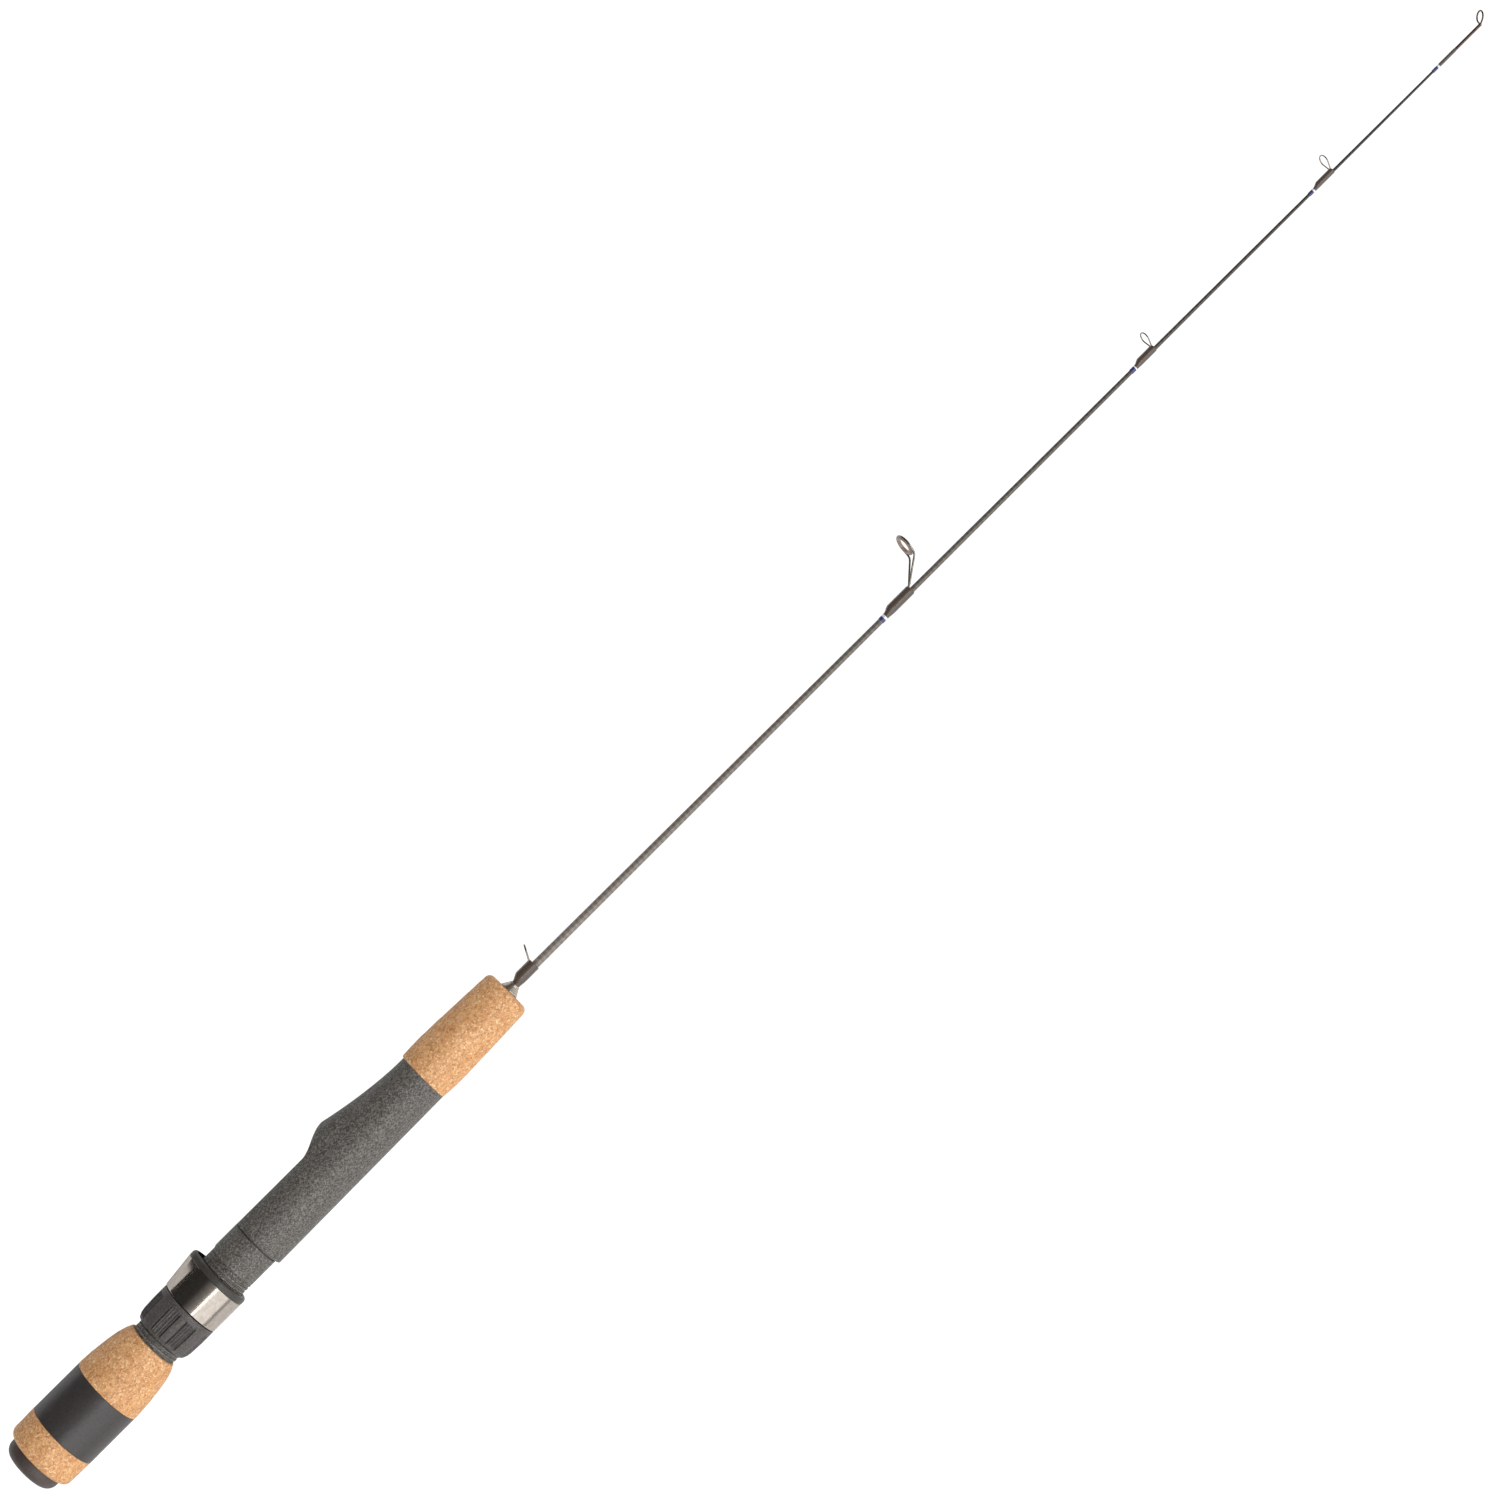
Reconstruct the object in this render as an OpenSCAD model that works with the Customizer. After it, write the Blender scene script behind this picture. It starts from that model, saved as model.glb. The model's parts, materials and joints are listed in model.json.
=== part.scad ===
// Ice fishing rod. A one-piece tapered blank runs through a cork handle and a threaded reel seat.
// A lock nut drives a sliding metal hood along the seat, towards the hood moulded on the seat.
// A hook keeper, three line guides and a tip-top are bound to the blank with thread and epoxy.
// The rod lies along +X from butt to tip and its guides stand along +Y. The origin is the centre
// of the butt cap's end face. Millimetres.

/* [Blank] */
// Length from the butt cap's end face to the end of the tip-top's tube
rod_length = 705.7; // [690:0.1:730]
// Radius of the blank at the front of the winding check
blank_r_handle = 1.46; // [1.36:0.02:1.56]
// Radius of the blank inside the tip-top
blank_r_tip = 0.4; // [0.36:0.01:0.44]

/* [Rear grip] */
// Length of the butt cap outside the cork
cap_len = 5.2; // [4.5:0.1:7]
// Radius of the butt cap
cap_r = 10.4; // [9.5:0.1:10.6]
// Length of the rear cork
rear_cork_len = 11.1; // [10:0.1:14]
// Length of the band between the two corks
band_len = 20.4; // [18:0.1:24]
// Length of the front cork
front_cork_len = 21.3; // [20:0.1:24]
// Radius of the rear grip at its band
grip_r = 13.15; // [12.8:0.05:13.6]
// Radius of the front cork at its front end
grip_front_r = 9.8; // [9.6:0.05:10.2]

/* [Reel seat] */
// Length of the threaded stretch
thread_len = 37; // [36:0.1:38]
// Radius over the thread's crests and of the plain neck
thread_r = 9.05; // [8.95:0.01:9.1]
// Pitch of the thread
thread_pitch = 1.5; // [1.4:0.05:1.7]
// Length of the plain neck
neck_len = 11.3; // [11:0.1:13]
// Length of the barrel that holds the reel
barrel_len = 77.4; // [76:0.1:82]
// Radius of the barrel at its rear step
barrel_r_rear = 10.4; // [10.2:0.05:10.6]
// Radius of the barrel at its front
barrel_r_front = 9.65; // [9.5:0.05:9.8]
// Height above the axis of the saddle that the reel's foot rests on
saddle_y = 8.95; // [8.9:0.01:9]
// Distance from the barrel's rear step to the peak of the fixed hood
hood_peak_from_step = 42.7; // [42:0.1:46]
// Height of the fixed hood's peak above the axis
hood_peak_y = 13.25; // [13:0.05:13.5]

/* [Sliding hood and lock nut] */
// Gap between the front cork and the lock nut as set here
nut_gap = 3.6; // [2.8:0.1:4]
// Length of the lock nut
nut_len = 13.3; // [12.6:0.1:13.8]
// Radius of the lock nut over its pads
nut_r = 11.15; // [11.05:0.05:11.3]
// Length of the metal shell
shell_len = 12.4; // [12:0.1:13]
// Radius of the metal shell away from its pocket
shell_r = 11.15; // [11.1:0.05:11.3]
// Height of the metal shell above the axis at its rear
shell_y_rear = 11.4; // [11.35:0.05:11.5]
// Height of the metal shell above the axis at its front
shell_y_front = 12.85; // [12.8:0.05:13]
// Length of the liner's lip in front of the metal shell
lip_len = 2.4; // [2:0.1:3]

/* [Foregrip, winding check and hook keeper] */
// Length of the foregrip
foregrip_len = 40.6; // [38:0.1:44]
// Largest radius of the foregrip
foregrip_r = 10.1; // [9.9:0.05:10.4]
// Length of the winding check
check_len = 3.3; // [3:0.1:4]
// Radius of the winding check at the foregrip
check_r = 3.5; // [3.3:0.1:4]
// Length of the hook keeper's wrap
keeper_wrap_len = 9.4; // [9:0.1:11]
// Height of the hook keeper's top above the axis
keeper_y = 7.6; // [7.3:0.1:8]

/* [Line guides] */
// Distance from the butt to the front of the first guide's wrap
guide_1_x = 419.1; // [415:0.1:430]
// Distance from the butt to the front of the second guide's wrap
guide_2_x = 539.8; // [535:0.1:550]
// Distance from the butt to the front of the third guide's wrap
guide_3_x = 630; // [625:0.1:640]
// Turn of the guides about their own uprights, as they are bound on
guide_turn = 12; // [0:1:15]
// Height above the axis of the first guide's ring centre
ring_y = 12.7; // [12.4:0.1:13]
// Radius of the hole in the first guide's ring
ring_hole_r = 2.55; // [2.4:0.05:2.7]
// Height of the second guide's top above the axis
guide_2_top_y = 7.3; // [7:0.1:8]
// Height of the third guide's top above the axis
guide_3_top_y = 7.1; // [6.8:0.1:8]

/* [Hidden] */

$fn = 64;
hull_fn = 32;
glue = 0.03;          // glue line between a bonded piece and what it is bonded to
body_gap = 0.3;       // clearance between faces that move against each other
eps = 0.01;

// Stations along the rod
cap_x = 0;
rear_cork_x = cap_x + cap_len;
band_x = rear_cork_x + rear_cork_len;
front_cork_x = band_x + band_len;
seat_x = front_cork_x + front_cork_len;
neck_x = seat_x + thread_len;
barrel_x = neck_x + neck_len;
foregrip_x = barrel_x + barrel_len;
check_x = foregrip_x + foregrip_len;
keeper_wrap_x = check_x + check_len;
nut_x = seat_x + nut_gap;
shell_x = nut_x + nut_len + body_gap;
lip_x = shell_x + shell_len;
tip_tube_len = 13;
tip_tube_x = rod_length - tip_tube_len;
tip_wrap_len = 8.6;
hood_peak_x = barrel_x + hood_peak_from_step;

guide_x = [guide_1_x, guide_2_x, guide_3_x];

// The blank is one straight taper
blank_start = 14;
blank_end = rod_length - 1;
blank_slope = (blank_r_handle - blank_r_tip) / (blank_end - keeper_wrap_x);
function blank_r(x) = blank_r_handle + (keeper_wrap_x - x) * blank_slope;

// Colours
cork = [0.79, 0.58, 0.36];
foam = [0.13, 0.125, 0.12];
graphite = [0.27, 0.26, 0.255];
blank_grey = [0.25, 0.22, 0.2];
wrap_brown = [0.12, 0.09, 0.07];
steel = [0.72, 0.71, 0.68];
ring_brown = [0.3, 0.24, 0.2];
trim_blue = [0.25, 0.3, 0.62];
trim_silver = [0.86, 0.87, 0.9];
arbor_tan = [0.7, 0.62, 0.45];

// Turns an outline of [radius, x] points about the rod's axis
module turned(outline) {
    rotate([0, 90, 0]) rotate_extrude() polygon(outline);
}

// A cylinder or cone along +X whose axis is raised by y
module rod_x(x, len, r1, r2, y = 0) {
    translate([x, y, 0]) rotate([0, 90, 0]) cylinder(h = len, r1 = r1, r2 = r2);
}

// The space that a bonded piece leaves for the blank, from x over len
module blank_hole(x, len) {
    r = blank_r(x) + glue;
    rod_x(x - eps, len + 2 * eps, r, r);
}

// Points of a quarter-round corner in [radius, x], from angle a0 to a1 about [r, x]
function corner(r, x, size, a0, a1, steps = 5) =
    [for (i = [0:steps]) let (a = a0 + (a1 - a0) * i / steps) [r + size * cos(a), x + size * sin(a)]];

// ---- Rear grip ----

cap_corner = 3.6;
cap_spigot_r = 4;
cap_spigot_len = 7;
cork_corner = 2.6;
cork_swell = 0.15;            // the rear cork grows by this much towards the band
cork_front_corner = 0.7;
barrel_steps = 14;

module butt_cap() {
    color(foam) turned(concat(
        [[0, cap_x]],
        corner(cap_r - cap_corner, cap_x + cap_corner, cap_corner, -90, 0, 8),
        [[cap_r, rear_cork_x], [cap_spigot_r, rear_cork_x], [cap_spigot_r, rear_cork_x + cap_spigot_len],
         [0, rear_cork_x + cap_spigot_len]]
    ));
}

module rear_cork() {
    rear_r = grip_r - cork_swell;
    color(cork) difference() {
        turned(concat(
            [[0, rear_cork_x]],
            corner(rear_r - cork_corner, rear_cork_x + cork_corner, cork_corner, -90, 0),
            [[grip_r, band_x], [0, band_x]]
        ));
        rod_x(rear_cork_x - eps, cap_spigot_len + 0.5, cap_spigot_r + glue, cap_spigot_r + glue);
        blank_hole(rear_cork_x, rear_cork_len);
    }
}

module grip_band() {
    color(foam) difference() {
        rod_x(band_x, band_len, grip_r, grip_r);
        blank_hole(band_x, band_len);
    }
}

// Radius of the front cork: a slow barrel taper that rounds over near the reel seat
function front_cork_r(t) = grip_r - (grip_r - grip_front_r) * (0.7 * pow(t, 1.6) + 0.3 * pow(t, 8));

seat_tail_len = 6;
seat_tail_r = 7.9;

module front_cork() {
    color(cork) difference() {
        turned(concat(
            [[0, front_cork_x]],
            [for (i = [0:barrel_steps]) let (t = i / barrel_steps)
                [front_cork_r(t), front_cork_x + t * (front_cork_len - cork_front_corner)]],
            corner(grip_front_r - cork_front_corner, seat_x - cork_front_corner, cork_front_corner,
                   30, 90, 3),
            [[0, seat_x]]
        ));
        rod_x(seat_x - seat_tail_len - glue, seat_tail_len + 1, seat_tail_r + glue, seat_tail_r + glue);
        blank_hole(front_cork_x, front_cork_len);
    }
}

// ---- Reel seat ----

seat_bore_r = 5.8;
thread_depth = 0.45;
key_y = thread_r - thread_depth + 0.05;      // height of the flat that keeps the hood from turning
lobe_y = 5;                                  // height of the axis that the fixed hood is turned about
mouth_len = 13;                              // length of the rise of its cheeks, on the butt side
flank_len = 18;                              // length over which its flanks leave the barrel, up to the peak
flank_r = 6.1;                               // radius of its flanks where they leave the barrel
ramp_len = foregrip_x - hood_peak_x;
lobe_steps = 12;
foot_pocket_r = 5.3;                         // radius of both pockets for the ends of the reel's foot
foot_pocket_y = 6.35;
pocket_back = 5;                             // the fixed hood's roof starts this far behind its peak
pocket_depth = 12;                           // depth of the pocket under the roof
pocket_mouth = 14;                           // length of the open slot between the cheeks, behind the roof
fixed_pocket_tilt = 9;                       // the fixed hood's pocket dips towards the tip by this angle
step_drop = 0.6;                             // the tube inside the barrel's rear is thinner than the neck
step_lap = 3;                                // and runs into the barrel by this much

// One ridge of the thread in [radius, x], starting at its root
function ridge(x) = let (root = thread_r - thread_depth, p = thread_pitch)
    [[root, x], [thread_r, x + 0.3 * p], [thread_r, x + 0.55 * p], [root, x + 0.85 * p]];

thread_turns = floor((thread_len - 0.4) / thread_pitch);

function smooth(t) = t * t * (3 - 2 * t);
// Height above the axis of the fixed hood's cheeks up to the peak, and of its ramp beyond it
function mouth_y(t) = saddle_y + (hood_peak_y - saddle_y) * smooth(t);
function ramp_y(t) = saddle_y + 0.05 + (hood_peak_y - saddle_y - 0.05) * pow(1 - t, 1.8);
// Radius of the fixed hood's flanks up to the peak
function flank(t) = flank_r + (hood_peak_y - lobe_y - flank_r) * smooth(t);

module seat_tube() {
    turned(concat(
        [[0, seat_x - seat_tail_len], [seat_tail_r, seat_x - seat_tail_len], [seat_tail_r, seat_x],
         [thread_r - thread_depth, seat_x]],
        [for (i = [0:thread_turns - 1]) each ridge(seat_x + 0.2 + i * thread_pitch)],
        [[thread_r - thread_depth, neck_x], [thread_r, neck_x + 0.3], [thread_r, barrel_x],
         [thread_r - step_drop, barrel_x], [thread_r - step_drop, barrel_x + step_lap],
         [0, barrel_x + step_lap]]
    ));
}

module barrel() {
    difference() {
        rod_x(barrel_x, barrel_len, barrel_r_rear, barrel_r_front);
        translate([barrel_x - 1, saddle_y, -15]) cube([barrel_len + 2, 10, 30]);
    }
}

// The fixed hood is turned about its own axis, and its butt side is cut to the cheeks' outline
module fixed_hood() {
    intersection() {
        translate([0, lobe_y, 0]) turned(concat(
            [[0, hood_peak_x - flank_len]],
            [for (i = [0:lobe_steps]) let (t = i / lobe_steps) [flank(t), hood_peak_x - (1 - t) * flank_len]],
            [for (i = [1:lobe_steps]) let (t = i / lobe_steps)
                [ramp_y(t) - lobe_y, hood_peak_x + t * ramp_len]],
            [[0, foregrip_x]]
        ));
        translate([0, 0, -20]) linear_extrude(40) polygon(concat(
            [[hood_peak_x - flank_len - 1, -20], [hood_peak_x - flank_len - 1, saddle_y]],
            [for (i = [0:lobe_steps]) let (t = i / lobe_steps)
                [hood_peak_x - (1 - t) * mouth_len, mouth_y(t)]],
            [[hood_peak_x, 20], [foregrip_x + 1, 20], [foregrip_x + 1, -20]]
        ));
    }
}

// The pocket for the foot's end and the open slot that leads into it
module fixed_hood_pocket() {
    translate([hood_peak_x - pocket_back, foot_pocket_y, 0]) rotate([0, 0, -fixed_pocket_tilt])
        rotate([0, 90, 0]) translate([0, 0, -pocket_mouth])
            cylinder(h = pocket_mouth + pocket_depth, r = foot_pocket_r);
}

module reel_seat() {
    color(graphite) difference() {
        union() {
            difference() {
                seat_tube();
                translate([seat_x, key_y, -10]) cube([thread_len + 0.2, 5, 20]);
            }
            barrel();
            fixed_hood();
        }
        rod_x(seat_x - seat_tail_len - 1, foregrip_x - seat_x + seat_tail_len + 2, seat_bore_r, seat_bore_r);
        difference() {
            fixed_hood_pocket();
            translate([hood_peak_x - 20, 0, -10]) cube([60, saddle_y, 20]);
        }
    }
}

module arbor(x, len) {
    color(arbor_tan) difference() {
        rod_x(x, len, seat_bore_r - glue, seat_bore_r - glue);
        blank_hole(x, len);
    }
}
arbor_len = 34;
module arbor_rear() { arbor(seat_x - seat_tail_len + 2, arbor_len); }
module arbor_front() { arbor(foregrip_x - arbor_len, arbor_len); }

// ---- Lock nut and sliding hood ----

nut_bore_r = thread_r + 0.09;
nut_sides = 4;                               // the nut's grip repeats four times round
nut_groove_turn = 17;                        // angle of each groove from the middle of its side
nut_groove_r = 2.2;
nut_groove_depth = 0.45;
nut_collar_len = 2.6;
// Outline of the nut: [how far it lies inside the full radius, distance from the nut's rear]
nut_outline = [[1.3, 0], [0.5, 1.6], [0.25, 3.2], [0, 8], [0, nut_len - 0.4], [0.3, nut_len]];

module lock_nut() {
    color(graphite) difference() {
        turned(concat(
            [[0, nut_x]],
            [for (p = nut_outline) [nut_r - p[0], nut_x + p[1]]],
            [[0, nut_x + nut_len]]
        ));
        rod_x(nut_x - 1, nut_len + 2, nut_bore_r, nut_bore_r);
        for (i = [0:nut_sides - 1], turn = [-nut_groove_turn, nut_groove_turn])
            rotate([360 * i / nut_sides + turn, 0, 0])
                rod_x(nut_x - 1, nut_len + 1 - nut_collar_len, nut_groove_r, nut_groove_r,
                      nut_r + nut_groove_r - nut_groove_depth);
    }
}

shell_wall = 0.7;
liner_bore_r = thread_r + 0.25;
lobe_r = 6.5;                                // radius of the raised side of the hood's section
lip_round = 1.1;
key_len = 2.5;                               // length of the flat in the liner's bore, from its rear
key_clearance = 0.25;
liner_pocket_start = 4.2;                    // distance from the liner's rear to its pocket
liner_pocket_drop = 1;                       // the liner's pocket sits lower than the fixed hood's
liner_pocket_tilt = 5;                       // and rises towards the tip by this angle

// Closed egg-shaped solid from x0 to x1: a cylinder with a raised side that climbs from y0 to y1
module egg(x0, x1, r0, r1, y0, y1) {
    thin = 0.02;
    hull($fn = hull_fn) {
        rotate([0, 90, 0]) translate([0, 0, x0]) cylinder(h = thin, r = r0);
        rotate([0, 90, 0]) translate([0, 0, x1 - thin]) cylinder(h = thin, r = r1);
        translate([x0, y0 - lobe_r, 0]) rotate([0, 90, 0]) cylinder(h = thin, r = lobe_r);
        translate([x1 - thin, y1 - lobe_r, 0]) rotate([0, 90, 0]) cylinder(h = thin, r = lobe_r);
    }
}

module hood_shell() {
    inner = shell_wall;
    climb = (shell_y_front - shell_y_rear) / shell_len;
    color(steel) difference() {
        egg(shell_x, lip_x, shell_r, shell_r, shell_y_rear, shell_y_front);
        egg(shell_x - 1, lip_x + 1, shell_r - inner, shell_r - inner,
            shell_y_rear - inner - climb, shell_y_front - inner + climb);
    }
}

module hood_liner() {
    inset = shell_wall + glue;
    color(foam) difference() {
        union() {
            egg(shell_x, lip_x + 0.1, shell_r - inset, shell_r - inset,
                shell_y_rear - inset, shell_y_front - inset);
            egg(lip_x + glue, lip_x + lip_len, shell_r, shell_r - lip_round,
                shell_y_front, shell_y_front - lip_round);
        }
        difference() {
            rod_x(shell_x - 1, 30, liner_bore_r, liner_bore_r);
            translate([shell_x - 2, key_y + key_clearance, -10]) cube([key_len + 2, 5, 20]);
        }
        difference() {
            translate([shell_x + liner_pocket_start, foot_pocket_y - liner_pocket_drop, 0])
                rotate([0, 0, liner_pocket_tilt]) rotate([0, 90, 0]) cylinder(h = 20, r = foot_pocket_r);
            translate([shell_x, -10, -10]) cube([30, 10 + key_y, 20]);
        }
    }
}

// ---- Foregrip, winding check and blank ----

foregrip_belly = 8.5;                        // distance from the foregrip's rear to its largest radius
foregrip_rear_drop = 0.35;
foregrip_front_drop = 1.15;
foregrip_corner = 2.2;

// Radius of the foregrip at x from its rear
function foregrip_profile(x) = x < foregrip_belly
    ? foregrip_r - foregrip_rear_drop * pow(1 - x / foregrip_belly, 2)
    : foregrip_r - foregrip_front_drop * pow((x - foregrip_belly) / (foregrip_len - foregrip_belly), 1.25);

module foregrip() {
    straight = foregrip_len - foregrip_corner;
    end_r = foregrip_profile(straight) - foregrip_corner;
    color(cork) difference() {
        turned(concat(
            [[0, foregrip_x], [foregrip_profile(0) - 0.4, foregrip_x]],
            [for (i = [0:barrel_steps]) let (x = 0.4 + (straight - 0.4) * i / barrel_steps)
                [foregrip_profile(x), foregrip_x + x]],
            corner(end_r, foregrip_x + straight, foregrip_corner, 15, 90, 5),
            [[0, check_x]]
        ));
        blank_hole(foregrip_x, foregrip_len);
    }
}

module winding_check() {
    front_r = blank_r(keeper_wrap_x) + 0.35;
    color(steel) difference() {
        turned([[0, check_x], [check_r, check_x], [check_r, check_x + 0.4],
                [front_r + 0.3, keeper_wrap_x - 0.7], [front_r, keeper_wrap_x - 0.2],
                [front_r - 0.2, keeper_wrap_x], [0, keeper_wrap_x]]);
        blank_hole(check_x, check_len);
    }
}

module blank() {
    color(blank_grey) rod_x(blank_start, blank_end - blank_start, blank_r(blank_start), blank_r(blank_end));
}

// ---- Wire work ----

bead = 1.03;                                 // a bend is a ball a little larger than the wire
leg_slim = 0.94;                             // a loop's legs are a little thinner than its arc
leg_lap = 0.15;                              // length of a leg inside the end of the arc

module wire_piece(a, b, r) {
    d = b - a;
    translate(a) rotate([0, acos(d[2] / norm(d)), atan2(d[1], d[0])]) cylinder(h = norm(d), r = r);
}

// A bent wire through the given points, with flat ends
module wire(points, r) {
    last = len(points) - 1;
    for (i = [0:last - 1]) wire_piece(points[i], points[i + 1], r);
    if (last > 1) for (i = [1:last - 1]) translate(points[i]) sphere(r = r * bead);
}

// An open loop in the local XY plane that stands on balls at +-gap: an arc of radius ring about
// [0, rise] and two straight legs that are tangent to it
module loop(ring, rise, gap, r) {
    d = norm([gap, rise]);
    spread = asin(ring / d) - atan2(gap, rise);
    leg = sqrt(d * d - ring * ring);
    touch = [gap + leg * sin(spread), leg * cos(spread), 0];
    translate([0, rise, 0]) rotate([0, 0, -spread])
        rotate_extrude(angle = 180 + 2 * spread) translate([ring, 0]) circle(r = r);
    end = touch + leg_lap * [sin(spread), cos(spread), 0];
    for (side = [-1, 1]) {
        wire([[side * gap, 0, 0], [side * end[0], end[1], 0]], r * leg_slim);
        translate([side * gap, 0, 0]) sphere(r = r * bead);
    }
}

// Stands a local XY shape up at [x, y], leaning towards the tip and turned about its upright
module standing(x, y, lean, turn) {
    translate([x, y, 0]) rotate([0, 0, -lean]) rotate([0, turn - 90, 0]) children();
}

// The two wires of a foot that lies along the blank
module foot(x0, x1, y, gap, r) {
    for (side = [-1, 1]) wire([[x0, y, side * gap], [x1, y, side * gap]], r);
}

// Thread and epoxy over a foot: round about an axis raised by lift, with sloping ends
module wrap_solid(x0, x1, r, lift, slope) {
    translate([0, lift, 0]) turned([
        [0, x0], [0.72 * r, x0], [0.9 * r, x0 + 0.45 * slope], [r, x0 + slope], [r, x1 - 0.8],
        [0.9 * r, x1 - 0.25], [0.75 * r, x1], [0, x1]
    ]);
}

// A narrow band of thread round the blank
module trim(x, len) {
    r = blank_r(x) + 0.17;
    difference() {
        turned([[0, x], [r - 0.08, x], [r, x + 0.15], [r, x + len - 0.1], [r - 0.05, x + len], [0, x + len]]);
        blank_hole(x, len);
    }
}

// ---- Hook keeper ----

keeper_wire_r = 0.32;
keeper_ring = 1.9;
keeper_lean = 28;
keeper_gap = 0.55;
keeper_wrap_r = 2.32;
keeper_wrap_lift = 0.48;
keeper_base = [keeper_wrap_x + keeper_wrap_len - 0.9, blank_r_handle + 0.35];
keeper_rise = (keeper_y - keeper_base[1]) / cos(keeper_lean) - keeper_wire_r - keeper_ring;

module keeper_wires(grow = 0) {
    r = keeper_wire_r + grow;
    foot(keeper_wrap_x + 1.6, keeper_base[0], keeper_base[1], keeper_gap, r);
    standing(keeper_base[0], keeper_base[1], keeper_lean, 0) loop(keeper_ring, keeper_rise, keeper_gap, r);
}
module hook_keeper() { color(steel) keeper_wires(); }

module keeper_wrap() {
    color(wrap_brown) difference() {
        wrap_solid(keeper_wrap_x, keeper_wrap_x + keeper_wrap_len, keeper_wrap_r, keeper_wrap_lift, 3);
        blank_hole(keeper_wrap_x, keeper_wrap_len);
        keeper_wires(glue / 2);
    }
}

// ---- First guide: a wire frame that carries a ring ----

frame_wire_r = 0.4;
leg_wire_r = 0.36;
ring_hoop_r = 3.75;
ring_half_len = 0.7;
ring_lean = 6;
guide_1_wrap_len = 13;
guide_1_wrap_r = 1.86;
guide_1_wrap_lift = 0.42;
guide_1_foot_y = blank_r(guide_x[0]) + leg_wire_r + 0.12;
guide_1_gap = 0.46;
ring_from_wrap = 9.3;
ring_x = guide_x[0] + ring_from_wrap;

module ring_place() { standing(ring_x, ring_y, ring_lean, guide_turn) children(); }

// The frame's bends on one side, from the foot to the side of the hoop
function frame_points(side) = let (knee = 3.1, hip = ring_hoop_r)
    [[guide_x[0] - guide_1_wrap_len + 2.2, guide_1_foot_y, side * guide_1_gap],
     [guide_x[0] + 0.1, guide_1_foot_y, side * guide_1_gap],
     [ring_x - 0.55 + side * knee * sin(guide_turn), ring_y - 4.3, side * knee],
     [ring_x - 0.15 + side * hip * sin(guide_turn), ring_y - 1, side * hip]];

module guide_1_wires(grow = 0) {
    for (side = [-1, 1]) wire(frame_points(side), leg_wire_r + grow);
}

module guide_1_frame() {
    color(steel) {
        guide_1_wires();
        ring_place() rotate_extrude() translate([ring_hoop_r, 0]) circle(r = frame_wire_r);
    }
}

module guide_1_ring() {
    outer = ring_hoop_r - 0.22;
    round = 0.35;
    color(ring_brown) ring_place() difference() {
        rotate_extrude() polygon([
            [ring_hole_r, -ring_half_len + round], [ring_hole_r + round, -ring_half_len],
            [outer - 0.3, -ring_half_len], [outer, -ring_half_len + 0.3],
            [outer, ring_half_len - 0.3], [outer - 0.3, ring_half_len],
            [ring_hole_r + round, ring_half_len], [ring_hole_r, ring_half_len - round]
        ]);
        rotate_extrude() translate([ring_hoop_r, 0]) circle(r = frame_wire_r + 0.01);
    }
}

module guide_1_wrap() {
    color(wrap_brown) difference() {
        wrap_solid(guide_x[0] - guide_1_wrap_len, guide_x[0], guide_1_wrap_r, guide_1_wrap_lift, 3.2);
        blank_hole(guide_x[0] - guide_1_wrap_len, guide_1_wrap_len);
        guide_1_wires(glue / 2);
    }
}

// ---- Second and third guides: one wire bent into a loop ----

loop_wire_r = [0.24, 0.22];
loop_ring = [2.2, 2.15];
loop_lean = [8, 10];
loop_wrap_len = [9.7, 9.8];
loop_wrap_r = [1.42, 1.17];
loop_wrap_lift = 0.4;
loop_top_y = [guide_2_top_y, guide_3_top_y];
loop_gap = 0.26;

// Height of the foot's wires on the blank, for the second guide (n = 0) and the third (n = 1)
function loop_foot_y(n) = blank_r(guide_x[n + 1] - loop_wrap_len[n]) + loop_wire_r[n] + 0.06;

module loop_wires(n, grow = 0) {
    x = guide_x[n + 1];
    y = loop_foot_y(n);
    r = loop_wire_r[n] + grow;
    rise = (loop_top_y[n] - y) / cos(loop_lean[n]) - loop_wire_r[n] - loop_ring[n];
    foot(x - loop_wrap_len[n] + 2, x - 0.5, y, loop_gap, r);
    standing(x - 0.5, y, loop_lean[n], guide_turn) loop(loop_ring[n], rise, loop_gap, r);
}

module loop_wrap(n) {
    x = guide_x[n + 1];
    color(wrap_brown) difference() {
        wrap_solid(x - loop_wrap_len[n], x, loop_wrap_r[n], loop_wrap_lift, 2.6);
        blank_hole(x - loop_wrap_len[n], loop_wrap_len[n]);
        loop_wires(n, glue / 2);
    }
}

module guide_2_loop() { color(steel) loop_wires(0); }
module guide_2_wrap() { loop_wrap(0); }
module guide_3_loop() { color(steel) loop_wires(1); }
module guide_3_wrap() { loop_wrap(1); }

// ---- Trims: a blue band, then a silver band against each wrap, on the butt side ----

silver_len = [0.9, 0.5, 0.7, 0.8];
blue_len = [1.35, 1.75, 1.7, 2.3];
wrap_start = [guide_x[0] - guide_1_wrap_len, guide_x[1] - loop_wrap_len[0], guide_x[2] - loop_wrap_len[1],
              tip_tube_x - tip_wrap_len];

module silver_trim(n) { color(trim_silver) trim(wrap_start[n] - silver_len[n], silver_len[n]); }
module blue_trim(n) { color(trim_blue) trim(wrap_start[n] - silver_len[n] - blue_len[n], blue_len[n]); }

module guide_1_blue_trim() { blue_trim(0); }
module guide_1_silver_trim() { silver_trim(0); }
module guide_2_blue_trim() { blue_trim(1); }
module guide_2_silver_trim() { silver_trim(1); }
module guide_3_blue_trim() { blue_trim(2); }
module guide_3_silver_trim() { silver_trim(2); }
module tip_blue_trim() { blue_trim(3); }
module tip_silver_trim() { silver_trim(3); }

// ---- Tip-top: a closed tube with a wire loop ----

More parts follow.
